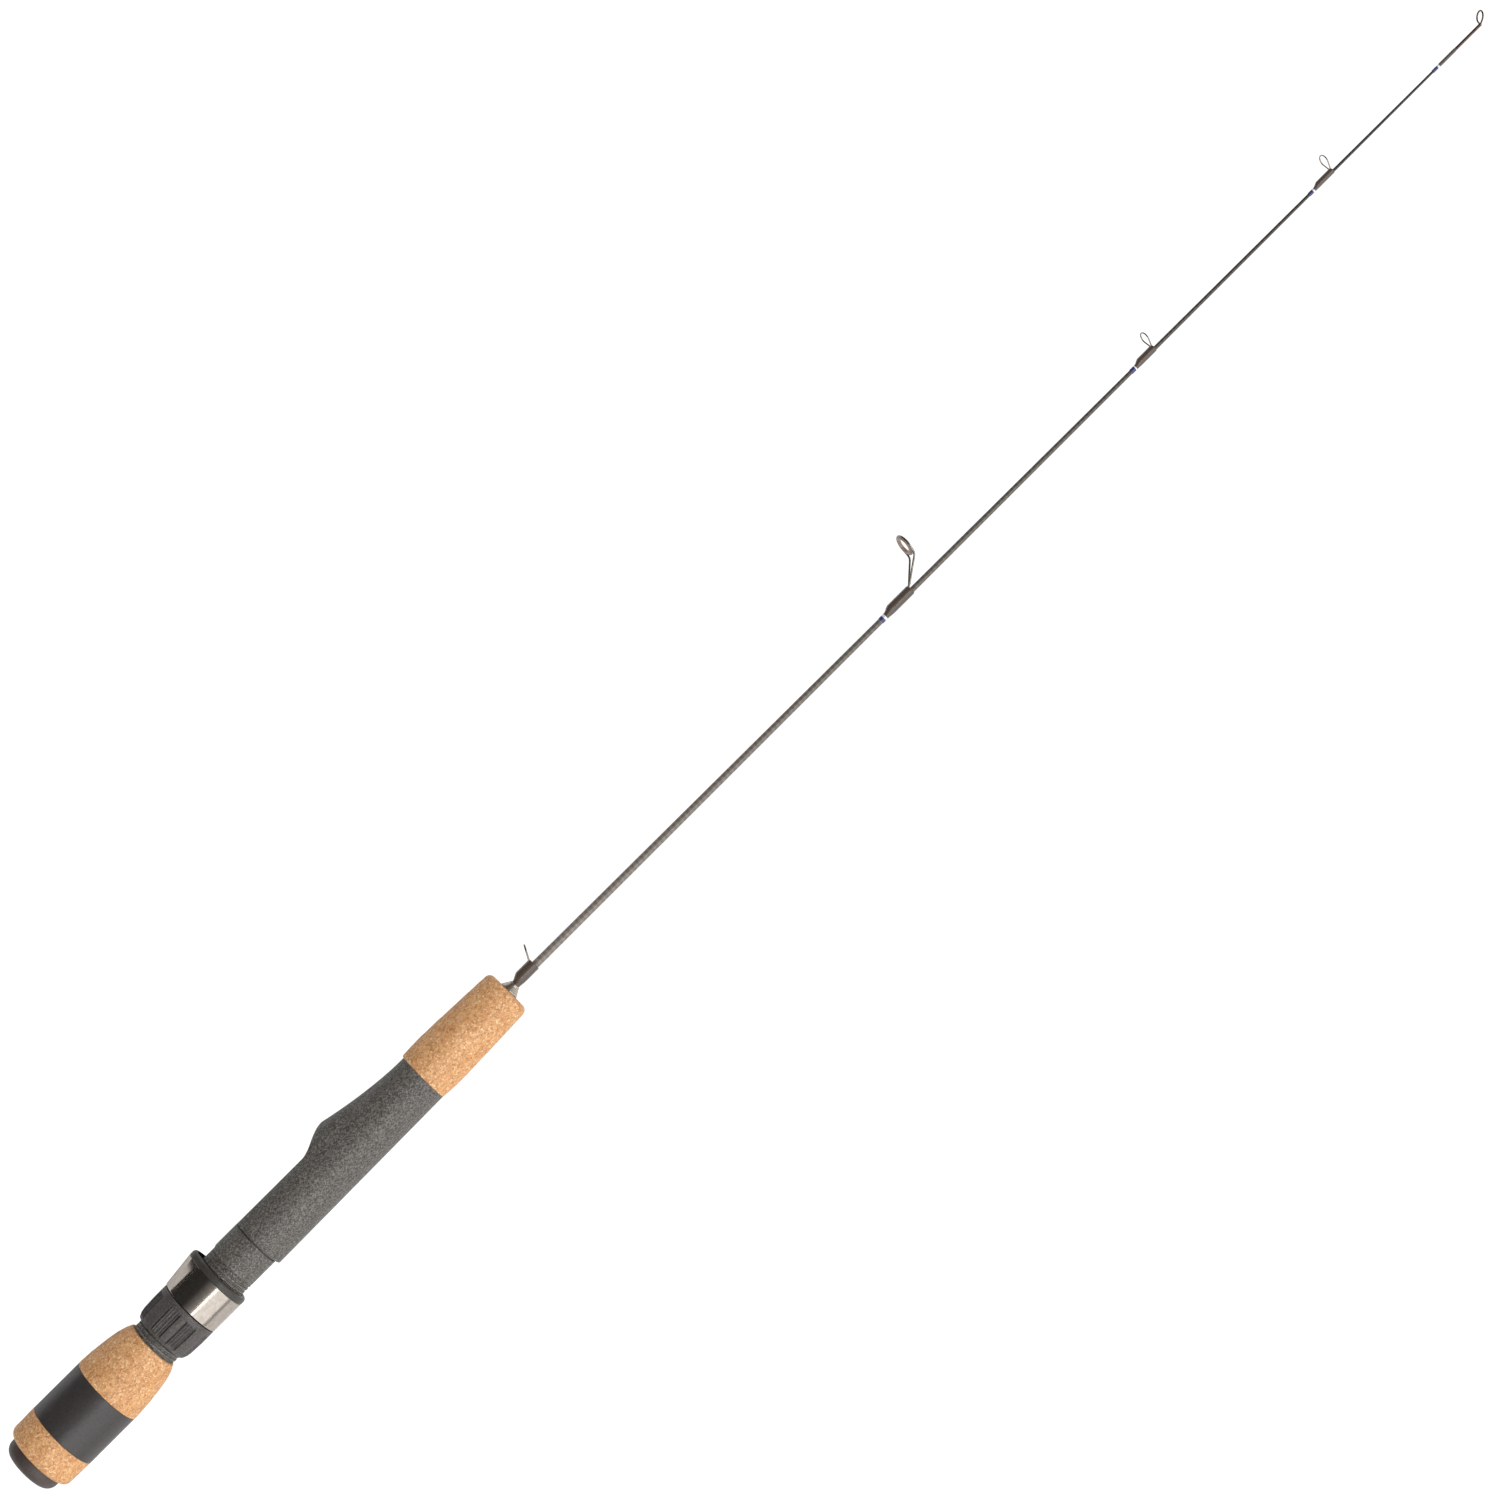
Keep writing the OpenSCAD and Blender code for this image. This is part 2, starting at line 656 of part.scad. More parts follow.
tip_tube_r = 0.56;
tip_wire_r = 0.3;
tip_ring = 2.1;
tip_lean = 43;
tip_base_x = rod_length - 0.1;
tip_base_y = 0.15;
tip_rise = 2.6;
tip_gap = 0.3;
tip_wrap_r = 0.67;

module tip_tube() {
    color(steel) difference() {
        turned([[0, tip_tube_x], [tip_tube_r, tip_tube_x], [tip_tube_r, rod_length - 0.3],
                [tip_tube_r - 0.2, rod_length], [0, rod_length]]);
        blank_hole(tip_tube_x - 0.5, blank_end - tip_tube_x + 0.5);
    }
}

module tip_wires(grow = 0) {
    standing(tip_base_x, tip_base_y, tip_lean, guide_turn)
        loop(tip_ring, tip_rise, tip_gap, tip_wire_r + grow);
}

module tip_loop() {
    color(steel) difference() {
        tip_wires();
        turned([[0, rod_length - 3], [tip_tube_r + 0.01, rod_length - 3],
                [tip_tube_r + 0.01, rod_length - 0.3], [tip_tube_r - 0.19, rod_length + 0.01],
                [0, rod_length + 0.01]]);
    }
}

module tip_wrap() {
    x = tip_tube_x - tip_wrap_len;
    r = tip_wrap_r;
    color(wrap_brown) difference() {
        turned([[0, x], [r - 0.1, x], [r, x + 0.8], [r, tip_tube_x - 0.5], [r - 0.1, tip_tube_x],
                [0, tip_tube_x]]);
        blank_hole(x, tip_wrap_len);
    }
}

butt_cap();
rear_cork();
grip_band();
front_cork();
reel_seat();
arbor_rear();
arbor_front();
lock_nut();
hood_shell();
hood_liner();
foregrip();
winding_check();
blank();
hook_keeper();
keeper_wrap();
guide_1_frame();
guide_1_ring();
guide_1_wrap();
guide_1_blue_trim();
guide_1_silver_trim();
guide_2_loop();
guide_2_wrap();
guide_2_blue_trim();
guide_2_silver_trim();
guide_3_loop();
guide_3_wrap();
guide_3_blue_trim();
guide_3_silver_trim();
tip_tube();
tip_loop();
tip_wrap();
tip_blue_trim();
tip_silver_trim();
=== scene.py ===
"""Looks for the ice fishing rod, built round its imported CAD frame.

The rod lies along +X from butt to tip, its guides stand along +Y and the camera looks down on it. Lengths
are in millimetres until a mesh is made. Angles round the rod are measured from +Y towards +Z.
"""

import itertools
import json
import math

import bmesh
import bpy
import numpy as np
from mathutils import Matrix, Vector


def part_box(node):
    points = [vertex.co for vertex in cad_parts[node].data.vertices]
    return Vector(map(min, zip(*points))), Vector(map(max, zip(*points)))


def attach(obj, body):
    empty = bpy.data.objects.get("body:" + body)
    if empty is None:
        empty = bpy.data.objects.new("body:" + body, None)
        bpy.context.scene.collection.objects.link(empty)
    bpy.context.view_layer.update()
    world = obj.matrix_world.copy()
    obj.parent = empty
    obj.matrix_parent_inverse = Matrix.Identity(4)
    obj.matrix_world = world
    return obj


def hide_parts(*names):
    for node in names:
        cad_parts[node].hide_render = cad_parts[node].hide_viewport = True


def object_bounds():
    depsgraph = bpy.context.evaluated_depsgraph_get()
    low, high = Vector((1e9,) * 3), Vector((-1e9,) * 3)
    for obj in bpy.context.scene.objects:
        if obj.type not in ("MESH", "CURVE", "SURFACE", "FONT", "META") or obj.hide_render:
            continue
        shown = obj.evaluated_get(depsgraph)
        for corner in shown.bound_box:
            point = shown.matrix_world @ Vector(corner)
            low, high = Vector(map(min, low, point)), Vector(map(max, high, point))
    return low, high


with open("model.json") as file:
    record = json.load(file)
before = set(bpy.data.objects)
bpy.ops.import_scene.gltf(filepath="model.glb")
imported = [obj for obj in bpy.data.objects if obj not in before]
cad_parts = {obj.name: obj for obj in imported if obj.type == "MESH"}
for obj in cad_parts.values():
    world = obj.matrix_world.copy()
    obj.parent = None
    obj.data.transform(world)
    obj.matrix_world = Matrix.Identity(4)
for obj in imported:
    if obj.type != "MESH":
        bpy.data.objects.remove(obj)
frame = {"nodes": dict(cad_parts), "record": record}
cad_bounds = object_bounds()

MM = 0.001
ROUND = 180              # points round the pieces of the handle
WIRE_ROUND = 16          # points round a wire
X, _, Z = np.eye(3)


# ---- Sizes that the frame gives ----

def span(node):
    """(x of the rear, x of the front, largest radius) of a CAD node that is turned about the rod's axis."""
    low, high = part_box(node)
    return low.x / MM, high.x / MM, high.z / MM


def heights(node):
    """(lowest y, highest y) of a CAD node."""
    low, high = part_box(node)
    return low.y / MM, high.y / MM


BLANK_TIP_R = 0.4
blank_start, blank_end, blank_start_r = span("blank")


def blank_r(x):
    """Radius of the blank, which is one straight taper."""
    return blank_start_r + (BLANK_TIP_R - blank_start_r) * (x - blank_start) / (blank_end - blank_start)


# ---- Outlines: arrays of (x, radius) ----

def smooth(t):
    """A smooth step, from 0 where t is 0 to 1 where t is 1."""
    t = np.clip(t, 0, 1)
    return t * t * (3 - 2 * t)


def arc(x, r, size, start, end, steps=8):
    """A round corner about (x, r), from start to end in degrees, measured from +X towards a larger radius."""
    a = np.radians(np.linspace(start, end, steps + 1))
    return np.stack([x + size * np.cos(a), r + size * np.sin(a)], -1)


def outline(*parts):
    """Joins points and runs of points into one outline."""
    return np.concatenate([np.atleast_2d(np.asarray(part, float)) for part in parts])


def refine(points, step):
    """The same outline with its points at most step apart."""
    made = [points[0]]
    for a, b in zip(points[:-1], points[1:]):
        count = max(1, math.ceil(np.linalg.norm(b - a) / step))
        made += [a + (b - a) * i / count for i in range(1, count + 1)]
    return np.array(made)


# ---- Surface relief ----

def lumps(points, size, seed):
    """Smooth random values from -1 to 1 at the points, with lumps of the given size."""
    cell = np.floor(points / size).astype(np.int64)
    part = smooth(points / size - cell)
    total = np.zeros(points.shape[:-1])
    for corner in itertools.product((0, 1), repeat=3):
        at = cell + corner
        mixed = at[..., 0] * 73856093 ^ at[..., 1] * 19349663 ^ at[..., 2] * 83492791 ^ seed * 2654435761
        value = ((mixed * 1103515245 + 12345) >> 8 & 0xFFFF) / 32767.5 - 1
        total += value * np.prod(np.where(corner, part, 1 - part), axis=-1)
    return total


def pores(x, r, angles, per_mm2, seed):
    """Depth of small open pores scattered over a turned surface, for each station and angle."""
    rng = np.random.default_rng(seed)
    depth = np.zeros((len(x), len(angles)))
    area = 2 * math.pi * r.mean() * (x.max() - x.min())
    for _ in range(int(area * per_mm2)):
        at_x, at_angle = rng.uniform(x.min(), x.max()), rng.uniform(0, 2 * math.pi)
        wide, long, deep = rng.uniform(0.25, 0.8), rng.uniform(0.25, 0.6), rng.uniform(0.03, 0.16)
        rows = np.flatnonzero(np.abs(x - at_x) < long)
        turn = (angles - at_angle + math.pi) % (2 * math.pi) - math.pi
        off = ((x[rows, None] - at_x) / long) ** 2 + (r[rows, None] * turn[None] / wide) ** 2
        depth[rows] = np.maximum(depth[rows], deep * np.clip(1 - off, 0, 1) ** 2)
    return depth


# ---- Rings of points, and the meshes made from them ----

def round_angles(count=ROUND):
    return np.arange(count) * 2 * math.pi / count


def ring_points(x, r, angles):
    """Rings about the rod's axis. x and r are given for each station, or for each station and angle."""
    shape = np.broadcast_shapes(np.shape(x), np.shape(r), (1, len(angles)))
    x, r = np.broadcast_to(x, shape), np.broadcast_to(r, shape)
    return np.stack([x, r * np.cos(angles), r * np.sin(angles)], -1)


def around(points, angles):
    """Rings of an outline turned about the rod's axis, with a point at each of the angles."""
    return ring_points(points[:, :1], points[:, 1:], angles)


def ring_at(x, r, angles):
    """One ring about the rod's axis, with a radius for each angle."""
    return ring_points(np.full((1, 1), x), r[None], angles)[0]


def turned(points, relief=None, count=ROUND):
    """Rings of an outline turned about the rod's axis. relief(x, r, angles) is added to the radius."""
    angles = round_angles(count)
    r = points[:, 1:] + np.zeros((1, count))
    if relief is not None:
        r = r + relief(points[:, 0], points[:, 1], angles)
    return ring_points(points[:, :1], r, angles)


def unit(rows):
    """Each row at a length of one."""
    return rows / np.linalg.norm(rows, axis=1)[:, None]


def swept(path, radius):
    """Rings of a round wire along a path, with rounded ends."""
    steps = unit(np.diff(path, axis=0))
    tangent = unit(np.concatenate([steps, steps[-1:]]) + np.concatenate([steps[:1], steps]))
    side = np.cross(tangent[0], Z if abs(tangent[0][2]) < 0.9 else X)
    angles = round_angles(WIRE_ROUND)
    rings = []
    for centre, t in zip(path, tangent):
        side = side - t * side.dot(t)
        side /= np.linalg.norm(side)
        circle = np.outer(np.cos(angles), side) + np.outer(np.sin(angles), np.cross(t, side))
        rings.append(centre + radius * circle)
    start, end = [], []
    for bend in np.radians((90, 60, 30)):
        out, narrowing = radius * math.sin(bend), math.cos(bend)
        start.append(path[0] - tangent[0] * out + (rings[0] - path[0]) * narrowing)
        end.insert(0, path[-1] + tangent[-1] * out + (rings[-1] - path[-1]) * narrowing)
    return np.array(start + rings + end)


def bend_at(before, corner, after, size, steps=7):
    """Points of a smooth bend that replaces a corner of a path and starts size away from it."""
    before, corner, after = (np.asarray(p, float) for p in (before, corner, after))
    a = corner + (before - corner) * size / np.linalg.norm(before - corner)
    b = corner + (after - corner) * size / np.linalg.norm(after - corner)
    t = np.linspace(0, 1, steps + 1)[:, None]
    return (1 - t) ** 2 * a + 2 * t * (1 - t) * corner + t * t * b


def grid_faces(rings, closed, first=0):
    index = first + np.arange(rings.shape[0] * rings.shape[1]).reshape(rings.shape[:2])
    here = index if closed else index[:-1]
    there = np.roll(index, -1, 0) if closed else index[1:]
    corners = [here, there, np.roll(there, -1, 1), np.roll(here, -1, 1)]
    return np.stack(corners, -1).reshape(-1, 4).tolist()


def mesh_of(name, grids, sharp=32):
    """A mesh from (rings, closed) grids. Equal points are joined, so a ring of one point is a pole."""
    points, faces = [], []
    for rings, closed in grids:
        faces += grid_faces(rings, closed, sum(len(p) for p in points))
        points.append(rings.reshape(-1, 3))
    mesh = bpy.data.meshes.new(name)
    mesh.from_pydata((np.concatenate(points) * MM).tolist(), [], faces)
    work = bmesh.new()
    work.from_mesh(mesh)
    bmesh.ops.remove_doubles(work, verts=work.verts, dist=1e-6)
    bmesh.ops.recalc_face_normals(work, faces=work.faces)
    work.to_mesh(mesh)
    work.free()
    mesh.shade_smooth()
    mesh.set_sharp_from_angle(angle=math.radians(sharp))
    return mesh


def piece(node, grids, body="root", sharp=32):
    """Makes the visual piece that stands for a CAD node, with the material of that node's slot."""
    made = bpy.data.objects.new(node + "_look", mesh_of(node + "_look", grids, sharp))
    bpy.context.scene.collection.objects.link(made)
    made.data.materials.append(materials[slot_of[node]])
    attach(made, body)
    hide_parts(node)
    return made


# ---- Materials ----

WAVE_SCALE = 0.3142      # gives the wave texture one wave a unit


def srgb(red, green, blue):
    """A linear colour from 0 to 255 screen values."""
    screen = (red / 255, green / 255, blue / 255)
    linear = [c / 12.92 if c <= 0.04045 else ((c + 0.055) / 1.055) ** 2.4 for c in screen]
    return (*linear, 1)


def add_node(tree, kind, inputs=None, **settings):
    """Adds a node. An input that is another node's output is linked to it."""
    made = tree.nodes.new(kind)
    for name, value in settings.items():
        setattr(made, name, value)
    for name, value in (inputs or {}).items():
        if isinstance(value, bpy.types.NodeSocket):
            tree.links.new(value, made.inputs[name])
        else:
            made.inputs[name].default_value = value
    return made


def new_material(name, colour, **sockets):
    """A material whose constant values are set on its shader. Socket names are written with underscores."""
    mat = bpy.data.materials.new(name)
    mat.use_nodes = True
    mat.diffuse_color = srgb(*colour)
    shader = mat.node_tree.nodes["Principled BSDF"]
    shader.inputs["Base Color"].default_value = srgb(*colour)
    for socket, value in sockets.items():
        shader.inputs[socket.replace("_", " ").title().replace("Ior", "IOR")].default_value = value
    return mat, mat.node_tree, shader


def grain(tree, size, stretch=(1, 1, 1), turn=(0, 0, 0)):
    """Object coordinates in which one unit is size millimetres, longer by stretch along each axis."""
    scale = [1 / (size * MM * s) for s in stretch]
    place = add_node(tree, "ShaderNodeTexCoord").outputs["Object"]
    turned_place = add_node(tree, "ShaderNodeMapping", {"Vector": place, "Rotation": turn})
    return add_node(tree, "ShaderNodeMapping", {"Vector": turned_place.outputs[0], "Scale": scale}).outputs[0]


def noise(tree, size, detail=2, **placing):
    inputs = {"Vector": grain(tree, size, **placing), "Scale": 1, "Detail": detail, "Roughness": 0.6}
    return add_node(tree, "ShaderNodeTexNoise", inputs).outputs[0]


def ramp(tree, factor, *stops):
    """Colours at positions along a value. Each stop is (position, (red, green, blue)) in screen values."""
    made = add_node(tree, "ShaderNodeValToRGB", {"Fac": factor})
    steps = made.color_ramp.elements
    while len(steps) < len(stops):
        steps.new(0.5)
    for step, (position, colour) in zip(steps, stops):
        step.position = position
        step.color = srgb(*colour)
    return made.outputs["Color"]


def shades(colour, darker, paler):
    """A darker and a paler colour, in screen values."""
    return [max(0, c - darker) for c in colour], [min(255, c + paler) for c in colour]


def mixed(tree, factor, a, b, blend):
    """Colour a with b blended over it."""
    made = add_node(tree, "ShaderNodeMix", data_type="RGBA", blend_type=blend)
    for index, value in ((0, factor), (6, a), (7, b)):
        if isinstance(value, bpy.types.NodeSocket):
            tree.links.new(value, made.inputs[index])
        else:
            made.inputs[index].default_value = value
    return made.outputs[2]


def maths(tree, operation, *values):
    made = add_node(tree, "ShaderNodeMath", operation=operation)
    for index, value in enumerate(values):
        if isinstance(value, bpy.types.NodeSocket):
            tree.links.new(value, made.inputs[index])
        else:
            made.inputs[index].default_value = value
    return made.outputs[0]


def to_range(tree, value, low, high):
    """Maps a value from 0..1 to low..high."""
    return add_node(tree, "ShaderNodeMapRange", {"Value": value, "To Min": low, "To Max": high}).outputs[0]


def weighted(tree, a, b, share):
    """Value a by its share, and b by the rest."""
    return maths(tree, "ADD", maths(tree, "MULTIPLY", a, share), maths(tree, "MULTIPLY", b, 1 - share))


def windings(tree, pitch, distortion):
    """A wave along the rod that repeats every pitch millimetres."""
    inputs = {"Vector": grain(tree, pitch), "Scale": WAVE_SCALE, "Distortion": distortion}
    return add_node(tree, "ShaderNodeTexWave", inputs, wave_type="BANDS", bands_direction="X").outputs[1]


def paint(tree, shader, colour):
    """Links a colour made by the nodes to the shader."""
    tree.links.new(colour, shader.inputs["Base Color"])


def bump(tree, shader, height, depth):
    """Raises the surface by depth millimetres where height is 1."""
    made = add_node(tree, "ShaderNodeBump", {"Height": height, "Strength": 1, "Distance": depth * MM})
    tree.links.new(made.outputs[0], shader.inputs["Normal"])


def cork_material():
    """Pressed cork: pale and dark granules under a millimetre across, with darker gaps and small specks."""
    mat, tree, shader = new_material("cork", (222, 176, 128), roughness=0.55, specular_ior_level=0.8)
    place = grain(tree, 0.6)
    wobble = add_node(tree, "ShaderNodeTexNoise", {"Vector": place, "Scale": 1.6, "Detail": 2}).outputs[1]
    place = mixed(tree, 0.3, place, wobble, "ADD")
    cells = add_node(tree, "ShaderNodeTexVoronoi", {"Vector": place, "Scale": 1})
    edges = add_node(tree, "ShaderNodeTexVoronoi", {"Vector": place, "Scale": 1}, feature="DISTANCE_TO_EDGE")
    shade = add_node(tree, "ShaderNodeSeparateColor", {"Color": cells.outputs["Color"]}).outputs[0]
    granules = ramp(tree, shade, (0, (190, 136, 82)), (0.2, (220, 164, 106)), (0.6, (232, 178, 118)),
                    (0.85, (240, 192, 136)), (1, (252, 216, 168)))
    fine = ramp(tree, noise(tree, 0.3, 4), (0.34, (200, 186, 172)), (0.6, (255, 255, 255)))
    colour = mixed(tree, 0.8, granules, fine, "MULTIPLY")
    gap = ramp(tree, edges.outputs["Distance"], (0, (214, 190, 168)), (0.12, (255, 255, 255)))
    colour = mixed(tree, 0.8, colour, gap, "MULTIPLY")
    broad = ramp(tree, noise(tree, 7, 1), (0.35, (244, 238, 230)), (0.65, (255, 255, 255)))
    paint(tree, shader, mixed(tree, 1, colour, broad, "MULTIPLY"))
    height = maths(tree, "ADD", noise(tree, 0.3, 3), maths(tree, "MINIMUM", edges.outputs["Distance"], 0.2))
    bump(tree, shader, height, 0.08)
    return mat


def foam_material(name, colour, speckle, roughness):
    """Dense dark foam with a fine open skin."""
    mat, tree, shader = new_material(name, colour, roughness=roughness, specular_ior_level=0.75)
    dark, pale = shades(colour, speckle, speckle)
    paint(tree, shader, ramp(tree, noise(tree, 0.55, 4), (0.3, dark), (0.5, colour), (0.72, pale)))
    bump(tree, shader, noise(tree, 0.3, 3), 0.06)
    return mat


def graphite_material(name, colour, contrast, roughness):
    """Moulded plastic filled with short graphite fibres, which show as fine crossing strokes."""
    mat, tree, shader = new_material(name, colour, roughness=roughness, specular_ior_level=0.5)
    one_way, other_way = (
        noise(tree, 0.5, 3, stretch=(2.2, 0.8, 0.8), turn=(0, 0, math.radians(turn))) for turn in (38, -34))
    strokes = maths(tree, "MAXIMUM", one_way, other_way)
    dark, pale = shades(colour, contrast, contrast)
    paint(tree, shader, ramp(tree, strokes, (0.46, dark), (0.57, colour), (0.7, pale)))
    tree.links.new(to_range(tree, strokes, roughness + 0.1, roughness - 0.08), shader.inputs["Roughness"])
    bump(tree, shader, strokes, 0.015)
    return mat


def plain_material(name, colour, spread=10, size=0.6, depth=0.01, **sockets):
    """A smooth material with a little cloudiness in its colour and surface."""
    mat, tree, shader = new_material(name, colour, **sockets)
    cloud = noise(tree, size, 3)
    dark, pale = shades(colour, spread, spread)
    paint(tree, shader, ramp(tree, cloud, (0.3, dark), (0.7, pale)))
    bump(tree, shader, cloud, depth)
    return mat


def metal_material(name, colour, roughness):
    """Polished metal with faint marks that run round it."""
    mat, tree, shader = new_material(name, colour, metallic=1, roughness=roughness)
    marks = noise(tree, 0.5, 4, stretch=(0.25, 2.5, 2.5))
    tree.links.new(to_range(tree, marks, roughness - 0.05, roughness + 0.07), shader.inputs["Roughness"])
    dark, pale = shades(colour, 10, 8)
    paint(tree, shader, ramp(tree, noise(tree, 1.5, 2), (0.3, dark), (0.7, pale)))
    bump(tree, shader, marks, 0.001)
    return mat


def thread_material(name, colour, pitch, spread, metallic=0.0):
    """Wound thread under a clear coat: turns across the rod, with small changes from turn to turn."""
    mat, tree, shader = new_material(
        name, colour, roughness=0.35, metallic=metallic, coat_weight=1.0, coat_roughness=0.05, coat_ior=1.5)
    turns = windings(tree, pitch, 0.4)
    shade = weighted(tree, turns, noise(tree, 0.25, 3, stretch=(0.4, 1, 1)), 0.5)
    dark, pale = shades(colour, spread, spread)
    paint(tree, shader, ramp(tree, shade, (0.25, dark), (0.75, pale)))
    bump(tree, shader, turns, 0.012)
    return mat


def blank_material():
    """A graphite blank: fibres that wind slowly round it under a clear gloss, darker towards the tip."""
    mat, tree, shader = new_material(
        "blank", (92, 84, 78), roughness=0.3, coat_weight=0.8, coat_roughness=0.12, coat_ior=1.5)
    winding = windings(tree, 2.2, 0.8)
    shade = weighted(tree, winding, noise(tree, 0.3, 3, stretch=(4, 1, 1)), 0.35)
    colour = ramp(tree, shade, (0.25, (104, 95, 88)), (0.5, (118, 109, 100)), (0.8, (132, 123, 113)))
    along = add_node(tree, "ShaderNodeSeparateXYZ", {"Vector": grain(tree, blank_end)}).outputs["X"]
    shaded = ramp(tree, along, (0.35, (255, 255, 255)), (0.9, (92, 88, 85)))
    paint(tree, shader, mixed(tree, 1, colour, shaded, "MULTIPLY"))
    bump(tree, shader, winding, 0.008)
    return mat


materials = {
    "foam": foam_material("foam", (68, 56, 52), 9, 0.5),
    "cork": cork_material(),
    "band": foam_material("band", (54, 50, 49), 9, 0.36),
    "graphite_seat": graphite_material("graphite_seat", (96, 92, 87), 36, 0.45),
    "arbor": plain_material("arbor", (196, 178, 140), 10, roughness=0.7),
    "graphite_nut": graphite_material("graphite_nut", (79, 75, 73), 16, 0.42),
    "hood_metal": metal_material("hood_metal", (200, 190, 180), 0.16),
    "liner": plain_material("liner", (60, 57, 53), 5, 0.5, 0.01, roughness=0.34),
    "check": plain_material("check", (196, 186, 174), 8, 0.6, 0.01, roughness=0.25, metallic=0.9),
    "blank": blank_material(),
    "wire": metal_material("wire", (158, 150, 142), 0.2),
    "wrap": thread_material("wrap", (78, 64, 54), 0.22, 14),
    "ring": plain_material("ring", (140, 118, 106), 12, 0.5, 0.003, roughness=0.12, coat_weight=0.6),
    "trim_blue": thread_material("trim_blue", (50, 56, 112), 0.2, 24, metallic=0.3),
    "trim_silver": thread_material("trim_silver", (232, 234, 240), 0.2, 16, metallic=0.3),
    "tip_metal": metal_material("tip_metal", (110, 92, 82), 0.25),
}
slot_of = {row["node"]: row["material_slot"] for row in frame["record"]["subparts"]}


# ---- Rear grip ----

GLUE = 0.03              # glue line between two bonded pieces
WRAP_GLUE = 0.01         # the same under a wrap's thread
CORK_STEP = 0.3          # spacing of the points on the cork's skin
CORK_EDGE = 0.15         # rounding of the corks' edges at the band


def cork_relief(seed):
    """Waviness, fine roughness and open pores of turned cork."""
    def relief(x, r, angles):
        points = ring_points(x[:, None], r[:, None], angles)
        rough = 0.05 * lumps(points, 2.6, seed) + 0.03 * lumps(points, 0.8, seed + 1)
        return rough - pores(x, r, angles, 0.1, seed)
    return relief


def foam_relief(seed):
    """Fine unevenness of a foam skin."""
    def relief(x, r, angles):
        points = ring_points(x[:, None], r[:, None], angles)
        return 0.02 * lumps(points, 1.6, seed) + 0.012 * lumps(points, 0.6, seed + 1)
    return relief


def tube_piece(node, outer, inner, relief=None, step=0.6):
    """A turned piece with a bore: outer runs from its rear to its front, inner from its front to its rear."""
    skin = turned(refine(outer, step), relief)
    piece(node, [(np.concatenate([skin, turned(inner)]), True)])


def bore_of(x0, x1, glue=GLUE):
    """The bore that a bonded piece leaves for the blank, from its front to its rear."""
    return outline((x1, blank_r(x0) + glue), (x0, blank_r(x0) + glue))


def fading(relief, rim=1.5):
    """The same relief, dying away towards the axis so that a pole stays one point."""
    return lambda x, r, angles: relief(x, r, angles) * smooth(r / rim)[:, None]


CAP_CORNER = 3.6
SPIGOT_R = 4.0
SPIGOT_LEN = 7.0


def add_butt_cap():
    x0, _, r = span("butt_cap")
    x1, _, _ = span("rear_cork")
    skin = refine(outline((x0, 0), arc(x0 + CAP_CORNER, r - CAP_CORNER, CAP_CORNER, 180, 90, 14),
                          arc(x1 - 0.2, r - 0.2, 0.2, 90, 0, 3), (x1, SPIGOT_R)), 0.5)
    spigot = outline((x1 + SPIGOT_LEN, SPIGOT_R), (x1 + SPIGOT_LEN, 0))
    piece("butt_cap", [(np.concatenate([turned(skin, fading(foam_relief(11))), turned(spigot)]), False)])


CORK_CORNER = 2.6
REAR_CORK_DROP = 0.15    # the rear cork is this much smaller at its rear
SPIGOT_ROOM = 0.5        # space in front of the cap's spigot


def add_rear_cork():
    x0, x1, r = span("rear_cork")
    rear_r = r - REAR_CORK_DROP
    outer = outline(arc(x0 + CORK_CORNER, rear_r - CORK_CORNER, CORK_CORNER, 180, 90, 10),
                    arc(x1 - CORK_EDGE, r - CORK_EDGE, CORK_EDGE, 90, 0, 3))
    spigot_x = x0 + SPIGOT_LEN + SPIGOT_ROOM
    inner = outline(bore_of(x0, x1)[0], (spigot_x, blank_r(x0) + GLUE),
                    (spigot_x, SPIGOT_R + GLUE), (x0, SPIGOT_R + GLUE))
    tube_piece("rear_cork", outer, inner, cork_relief(21), CORK_STEP)


def add_grip_band():
    x0, x1, r = span("grip_band")
    edge = 0.25
    outer = outline(arc(x0 + edge, r - edge, edge, 180, 90, 4), arc(x1 - edge, r - edge, edge, 90, 0, 4))
    tube_piece("grip_band", outer, bore_of(x0, x1), foam_relief(31), 0.4)


FRONT_CORK_END_R = 9.8
FRONT_CORK_CORNER = 0.7
SEAT_TAIL_LEN = 6.0
SEAT_TAIL_R = 7.9


def add_front_cork():
    x0, x1, r = span("front_cork")
    t = np.linspace(0, 1, 40)
    swell = r - (r - FRONT_CORK_END_R) * (0.7 * t ** 1.6 + 0.3 * t ** 8)
    corner = FRONT_CORK_CORNER
    barrel = np.stack([x0 + CORK_EDGE + t * (x1 - x0 - CORK_EDGE - corner), swell], -1)
    outer = outline(arc(x0 + CORK_EDGE, r - CORK_EDGE, CORK_EDGE, 180, 90, 3), barrel[1:],
                    arc(x1 - corner, FRONT_CORK_END_R - corner, corner, 60, 0, 4))
    tail_x = x1 - SEAT_TAIL_LEN - GLUE
    inner = outline((x1, SEAT_TAIL_R + GLUE), (tail_x, SEAT_TAIL_R + GLUE),
                    (tail_x, blank_r(x0) + GLUE), bore_of(x0, x1)[1])
    tube_piece("front_cork", outer, inner, cork_relief(41), CORK_STEP)


# ---- Reel seat ----

